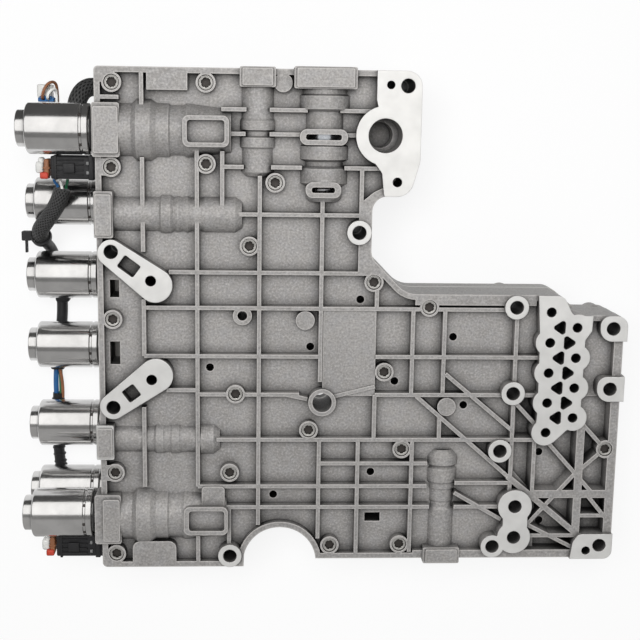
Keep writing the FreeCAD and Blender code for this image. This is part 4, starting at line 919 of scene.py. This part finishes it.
class VALVEBODY_OT_connectors(bpy.types.Operator):
    """Plugs, locks and clips of the wiring"""

    bl_idname = "valve_body.connectors"
    bl_label = "Connectors"

    def execute(self, context):
        trim = 1.6 * MM
        for number in ("1", "2"):
            node = "side_connector_" + number
            low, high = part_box(node)
            housing(node, node + "_housing", ((0.12, 1.6 * MM), (0.86, 3.0 * MM)), 0, "black",
                    "black_plastic", trim)
            corner = (low.x / MM, low.y / MM, (high.z - trim) / MM)
            block_piece(node + "_ridges", "black", "black_plastic", CONNECTOR_RIDGES, corner)
            block_piece(node + "_latch_tabs", "grey", "black_plastic", LATCH_TABS, corner)
            node = "connector_lock_" + number
            low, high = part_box(node)
            housing(node, node + "_bar", ((0.5, 1.2 * MM),), 1, "brown", "white_plastic")
            corner = (low.x / MM, low.y / MM, high.z / MM)
            block_piece(node + "_clip", "clear", "white_plastic", LOCK_CLIP, corner)
            block_piece(node + "_key", "red", "white_plastic", LOCK_KEY, corner)
        for node, shares, width, axis in (("back_connector", (0.2, 0.5, 0.8), 2.0 * MM, 1),
                                          ("main_connector", (0.15, 0.5, 0.85), 3.0 * MM, 0)):
            ribs = [(share, width) for share in shares]
            housing(node, node + "_housing", ribs, axis, "black", "black_plastic")
        self.top_plug()
        for node in ("trunk_clip", "cable_tie"):
            dress(node, finish("black"))
        return {"FINISHED"}

    def top_plug(self):
        """White plug over a blue base that the twisted pair goes into."""
        low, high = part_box("top_plug")
        base = low / MM
        top = (base.x, base.y, high.z / MM)
        plug = block_piece("top_plug_housing", "clear", "white_plastic", TOP_PLUG, base, top)
        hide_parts("top_plug")
        block_piece("top_plug_base", "blue", "white_plastic", TOP_PLUG_BASE, base, top)


def route_curve(name, route):
    """A smooth curve with the route's points as its control points."""
    curve = bpy.data.curves.new(name, "CURVE")
    curve.dimensions = "3D"
    spline = curve.splines.new("NURBS")
    spline.points.add(len(route) - 1)
    for point, corner in zip(spline.points, route):
        point.co = (*corner, 1.0)
    spline.order_u = 3
    spline.use_endpoint_u = True
    spline.resolution_u = 10
    piece = bpy.data.objects.new(name, curve)
    bpy.context.collection.objects.link(piece)
    return piece


def tube_along(name, route, radius, sides=10):
    """A smooth round tube along a route, as a mesh with its own UV map."""
    tube = route_curve(name, route)
    tube.data.bevel_depth = radius
    tube.data.bevel_resolution = sides
    tube.data.use_fill_caps = True
    select_only(tube)
    bpy.ops.object.convert(target="MESH")
    return bpy.context.object


def tube_piece(name, node, route, radius, slot, colour, sides=10, angle=60.0):
    """A finished tube that takes the place of its CAD node."""
    tube = tube_along(name, route, radius, sides)
    finish_piece(tube, name, slot, finish(colour))
    smooth(tube, angle)
    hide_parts(node)


def ribbed_conduit(name, route, radius, rib_height, rib_pitch):
    """A corrugated tube: rings follow points read from the route's own curve."""
    curve = route_curve(name, route)
    line = bpy.data.meshes.new_from_object(curve)
    points = [vertex.co.copy() for vertex in line.vertices]
    bpy.data.objects.remove(curve)
    rings = []
    travelled = 0.0
    for before, here in zip(points, points[1:]):
        travelled += (here - before).length
        if travelled < rib_pitch:
            continue
        travelled = 0.0
        deselect()
        bpy.ops.mesh.primitive_torus_add(major_radius=radius, minor_radius=rib_height, major_segments=28,
                                         minor_segments=8, location=here,
                                         rotation=(here - before).to_track_quat("Z", "Y").to_euler())
        rings.append(bpy.context.object)
    return joined(rings)


class VALVEBODY_OT_looms(bpy.types.Operator):
    """Braided looms, the conduit under the cans and the wires at the plugs"""

    bl_idname = "valve_body.looms"
    bl_label = "Looms"

    def execute(self, context):
        look = context.scene.valve_body_wiring
        for name, node, route, radius, material in (
                ("top_loom_sleeve", "top_loom", TOP_LOOM_ROUTE, look.loom_r, "braid"),
                ("side_loom_sleeve", "side_loom", SIDE_LOOM_ROUTE, look.side_loom_r, "braid"),
                ("loom_trunk_sleeve", "loom_trunk", TRUNK_ROUTE[:6] + TRUNK_GAP[:1], look.trunk_r, "black"),
                ("loom_trunk_conduit", "loom_trunk", TRUNK_GAP[1:] + TRUNK_ROUTE[7:], look.trunk_r, "black")):
            tube_piece(name, node, route, radius, "loom_braid", material, angle=50.0)
        for colour, radius, route in TRUNK_WIRES:
            tube_piece("loom_trunk_wire_" + colour, "loom_trunk", route, radius, "wire_cover", colour, 6)
        for name, blocks in LOOM_CLIPS:
            block_piece(name, "black", "black_plastic", blocks)
        rib_height = 0.75 * MM
        rib_pitch = 2.6 * MM
        ribs = ribbed_conduit("loom_trunk_ribs", TRUNK_GAP[1:] + TRUNK_ROUTE[7:10], look.trunk_r - 0.1 * MM,
                              rib_height, rib_pitch)
        finish_piece(ribs, "loom_trunk_ribs", "loom_braid", finish("black"))
        smooth(ribs, 60.0)
        for node, routes in (("top_wires", TOP_WIRE_ROUTES), ("side_wires", SIDE_WIRE_ROUTES)):
            for colour, route in routes:
                tube_piece(f"{node}_{colour}", node, route, look.wire_r, "wire_cover", colour, 6)
        return {"FINISHED"}


# Stage

# Cards: name, near edge (y, z), far edge (y, z), glow
REFLECTION_CARDS = (
    ("bright_card", (-0.06, 0.70), (0.44, 0.31), 1.45),
    ("dark_card_above", (-0.06, 0.70), (-0.236, 0.48), 0.25),
    ("dark_card_behind", (0.44, 0.31), (0.42, 0.002), 0.10),
    ("dark_card_behind_floor", (0.42, 0.002), (0.158, 0.002), 0.10),
    ("grey_card_front", (-0.236, 0.48), (-0.60, 0.002), 0.45),
    ("grey_card_front_floor", (-0.60, 0.002), (-0.162, 0.002), 0.45),
)


def area_lamp(name, location, aim, size, power):
    deselect()
    bpy.ops.object.light_add(type="AREA", location=location)
    lamp = bpy.context.object
    lamp.name = name
    lamp.data.shape = "RECTANGLE"
    lamp.data.size, lamp.data.size_y = size
    lamp.data.energy = power
    lamp.rotation_euler = (Vector(aim) - Vector(location)).to_track_quat("-Z", "Y").to_euler()
    return lamp


def reflection_card(name, corners, glow):
    """A plain card that only polished metal shows: pale to light a band, dark to leave one between."""
    deselect()
    bpy.ops.mesh.primitive_plane_add(size=2.0)
    card = bpy.context.object
    for vertex, corner in zip(card.data.vertices, corners):
        vertex.co = corner
    card.name = name
    material, nodes, links, shader = blank(name)
    nodes.remove(shader)
    light = nodes.new("ShaderNodeEmission")
    light.inputs["Color"].default_value = (1.0, 0.99, 0.975, 1.0)
    light.inputs["Strength"].default_value = glow
    links.new(light.outputs[0], nodes["Material Output"].inputs["Surface"])
    card.data.materials.append(material)
    for kind in ("camera", "diffuse", "shadow", "transmission", "volume_scatter"):
        setattr(card, "visible_" + kind, False)
    return card


def mixed_shader(nodes, links, share, first, second):
    node = nodes.new("ShaderNodeMixShader")
    for socket, value in zip(node.inputs, (share, first, second)):
        links.new(value, socket)
    return node.outputs[0]


def camera_rays_see_white(nodes, links, surface, share):
    """Mix a plain white glow into a surface for what the camera, gloss and glass see."""
    path = nodes.new("ShaderNodeLightPath")
    seen = arithmetic(nodes, links, "MAXIMUM", path.outputs["Is Camera Ray"], path.outputs["Is Glossy Ray"])
    seen = arithmetic(nodes, links, "MAXIMUM", seen, path.outputs["Is Transmission Ray"])
    share_seen = arithmetic(nodes, links, "MULTIPLY", seen, share)
    glow = nodes.new("ShaderNodeEmission")
    glow.inputs["Color"].default_value = (1.0, 1.0, 1.0, 1.0)
    return mixed_shader(nodes, links, share_seen, surface, glow.outputs[0])


class VALVEBODY_OT_stage(bpy.types.Operator):
    """White floor, soft lamps, world and the camera of the studio"""

    bl_idname = "valve_body.stage"
    bl_label = "Stage"

    def execute(self, context):
        look = context.scene.valve_body_stage
        floor_gap = 0.2 * MM
        deselect()
        bpy.ops.mesh.primitive_plane_add(size=8.0, location=(0, 0, cad_box[0].z - floor_gap))
        floor = bpy.context.object
        floor.name = "floor"
        material, nodes, links, shader = blank("floor_paper")
        shader.inputs["Base Color"].default_value = (0.86, 0.86, 0.86, 1.0)
        shader.inputs["Roughness"].default_value = 0.9
        output = nodes["Material Output"]
        links.new(camera_rays_see_white(nodes, links, shader.outputs[0], 0.85), output.inputs["Surface"])
        floor.data.materials.append(material)

        world = bpy.data.worlds.new("studio")
        context.scene.world = world
        world.use_nodes = True
        tree = world.node_tree
        tree.nodes.clear()
        glows = []
        for strength in (look.room_glow, 1.0):
            white = tree.nodes.new("ShaderNodeBackground")
            white.inputs["Color"].default_value = (1.0, 1.0, 1.0, 1.0)
            white.inputs["Strength"].default_value = strength
            glows.append(white.outputs[0])
        path = tree.nodes.new("ShaderNodeLightPath")
        seen = arithmetic(tree.nodes, tree.links, "MAXIMUM", path.outputs["Is Camera Ray"],
                          path.outputs["Is Transmission Ray"])
        out = tree.nodes.new("ShaderNodeOutputWorld")
        tree.links.new(mixed_shader(tree.nodes, tree.links, seen, *glows), out.inputs["Surface"])

        aim = (0.0, 0.0, look.ribbed_face)
        key = area_lamp("key_lamp", (-0.16, 0.30, 1.15), aim, (0.50, 0.35), look.key_power)
        fill = area_lamp("fill_lamp", (0.40, -0.45, 1.00), aim, (0.9, 0.9), look.fill_power)
        key.visible_glossy = False
        fill.visible_glossy = False
        left, right = -0.95, 0.75
        for name, (near_y, near_z), (far_y, far_z), glow in REFLECTION_CARDS:
            reflection_card(name, ((left, near_y, near_z), (right, near_y, near_z), (left, far_y, far_z),
                                   (right, far_y, far_z)), glow)

        turn = (Matrix.Rotation(math.radians(CAMERA_ROLL), 3, "Z")
                @ Matrix.Rotation(math.radians(CAMERA_TILT), 3, "X")
                @ Matrix.Rotation(math.radians(CAMERA_YAW), 3, "Y")).transposed()
        deselect()
        bpy.ops.object.camera_add()
        camera = bpy.context.object
        camera.name = "camera"
        eye = turn @ Vector((0, 0, look.view_distance)) + Vector((0, 0, look.ribbed_face))
        camera.matrix_world = Matrix.Translation(eye) @ turn.to_4x4()
        camera.data.sensor_width = 36.0
        camera.data.lens = look.focal_pixels / FRAME_PIXELS * camera.data.sensor_width
        camera.data.clip_start, camera.data.clip_end = 0.01, 20.0
        context.scene.camera = camera
        context.scene.view_settings.view_transform = "Standard"
        return {"FINISHED"}


class VALVEBODY_PT_panel(bpy.types.Panel):
    """Pieces and finishes of the valve body"""

    bl_idname = "VALVEBODY_PT_panel"
    bl_label = "Valve body"
    bl_space_type = "VIEW_3D"
    bl_region_type = "UI"
    bl_category = "Valve Body"

    def draw(self, context):
        layout = self.layout
        for look in (context.scene.valve_body_casting, context.scene.valve_body_bolts,
                     context.scene.valve_body_cartridges, context.scene.valve_body_wiring,
                     context.scene.valve_body_stage):
            box = layout.box()
            for name in look.__annotations__:
                box.prop(look, name)
        for operator in PIECE_OPERATORS:
            layout.operator(operator.bl_idname)


LOOKS = {
    "valve_body_casting": CastingLook,
    "valve_body_bolts": BoltLook,
    "valve_body_cartridges": CartridgeLook,
    "valve_body_wiring": WiringLook,
    "valve_body_stage": StageLook,
}
PIECE_OPERATORS = (
    VALVEBODY_OT_castings,
    VALVEBODY_OT_clamp_bolts,
    VALVEBODY_OT_cartridges,
    VALVEBODY_OT_valves,
    VALVEBODY_OT_connectors,
    VALVEBODY_OT_looms,
    VALVEBODY_OT_stage,
)


def register():
    for look in LOOKS.values():
        bpy.utils.register_class(look)
    for name, look in LOOKS.items():
        setattr(bpy.types.Scene, name, bpy.props.PointerProperty(type=look))
    for operator in PIECE_OPERATORS:
        bpy.utils.register_class(operator)
    bpy.utils.register_class(VALVEBODY_PT_panel)


def unregister():
    bpy.utils.unregister_class(VALVEBODY_PT_panel)
    for operator in reversed(PIECE_OPERATORS):
        bpy.utils.unregister_class(operator)
    for name in LOOKS:
        delattr(bpy.types.Scene, name)
    for look in reversed(LOOKS.values()):
        bpy.utils.unregister_class(look)


def main():
    """Register the add-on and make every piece."""
    register()
    make_materials(bpy.context.scene)
    bpy.ops.valve_body.castings()
    bpy.ops.valve_body.clamp_bolts()
    bpy.ops.valve_body.cartridges()
    bpy.ops.valve_body.valves()
    bpy.ops.valve_body.connectors()
    bpy.ops.valve_body.looms()
    bpy.ops.valve_body.stage()


if __name__ == "__main__":
    main()
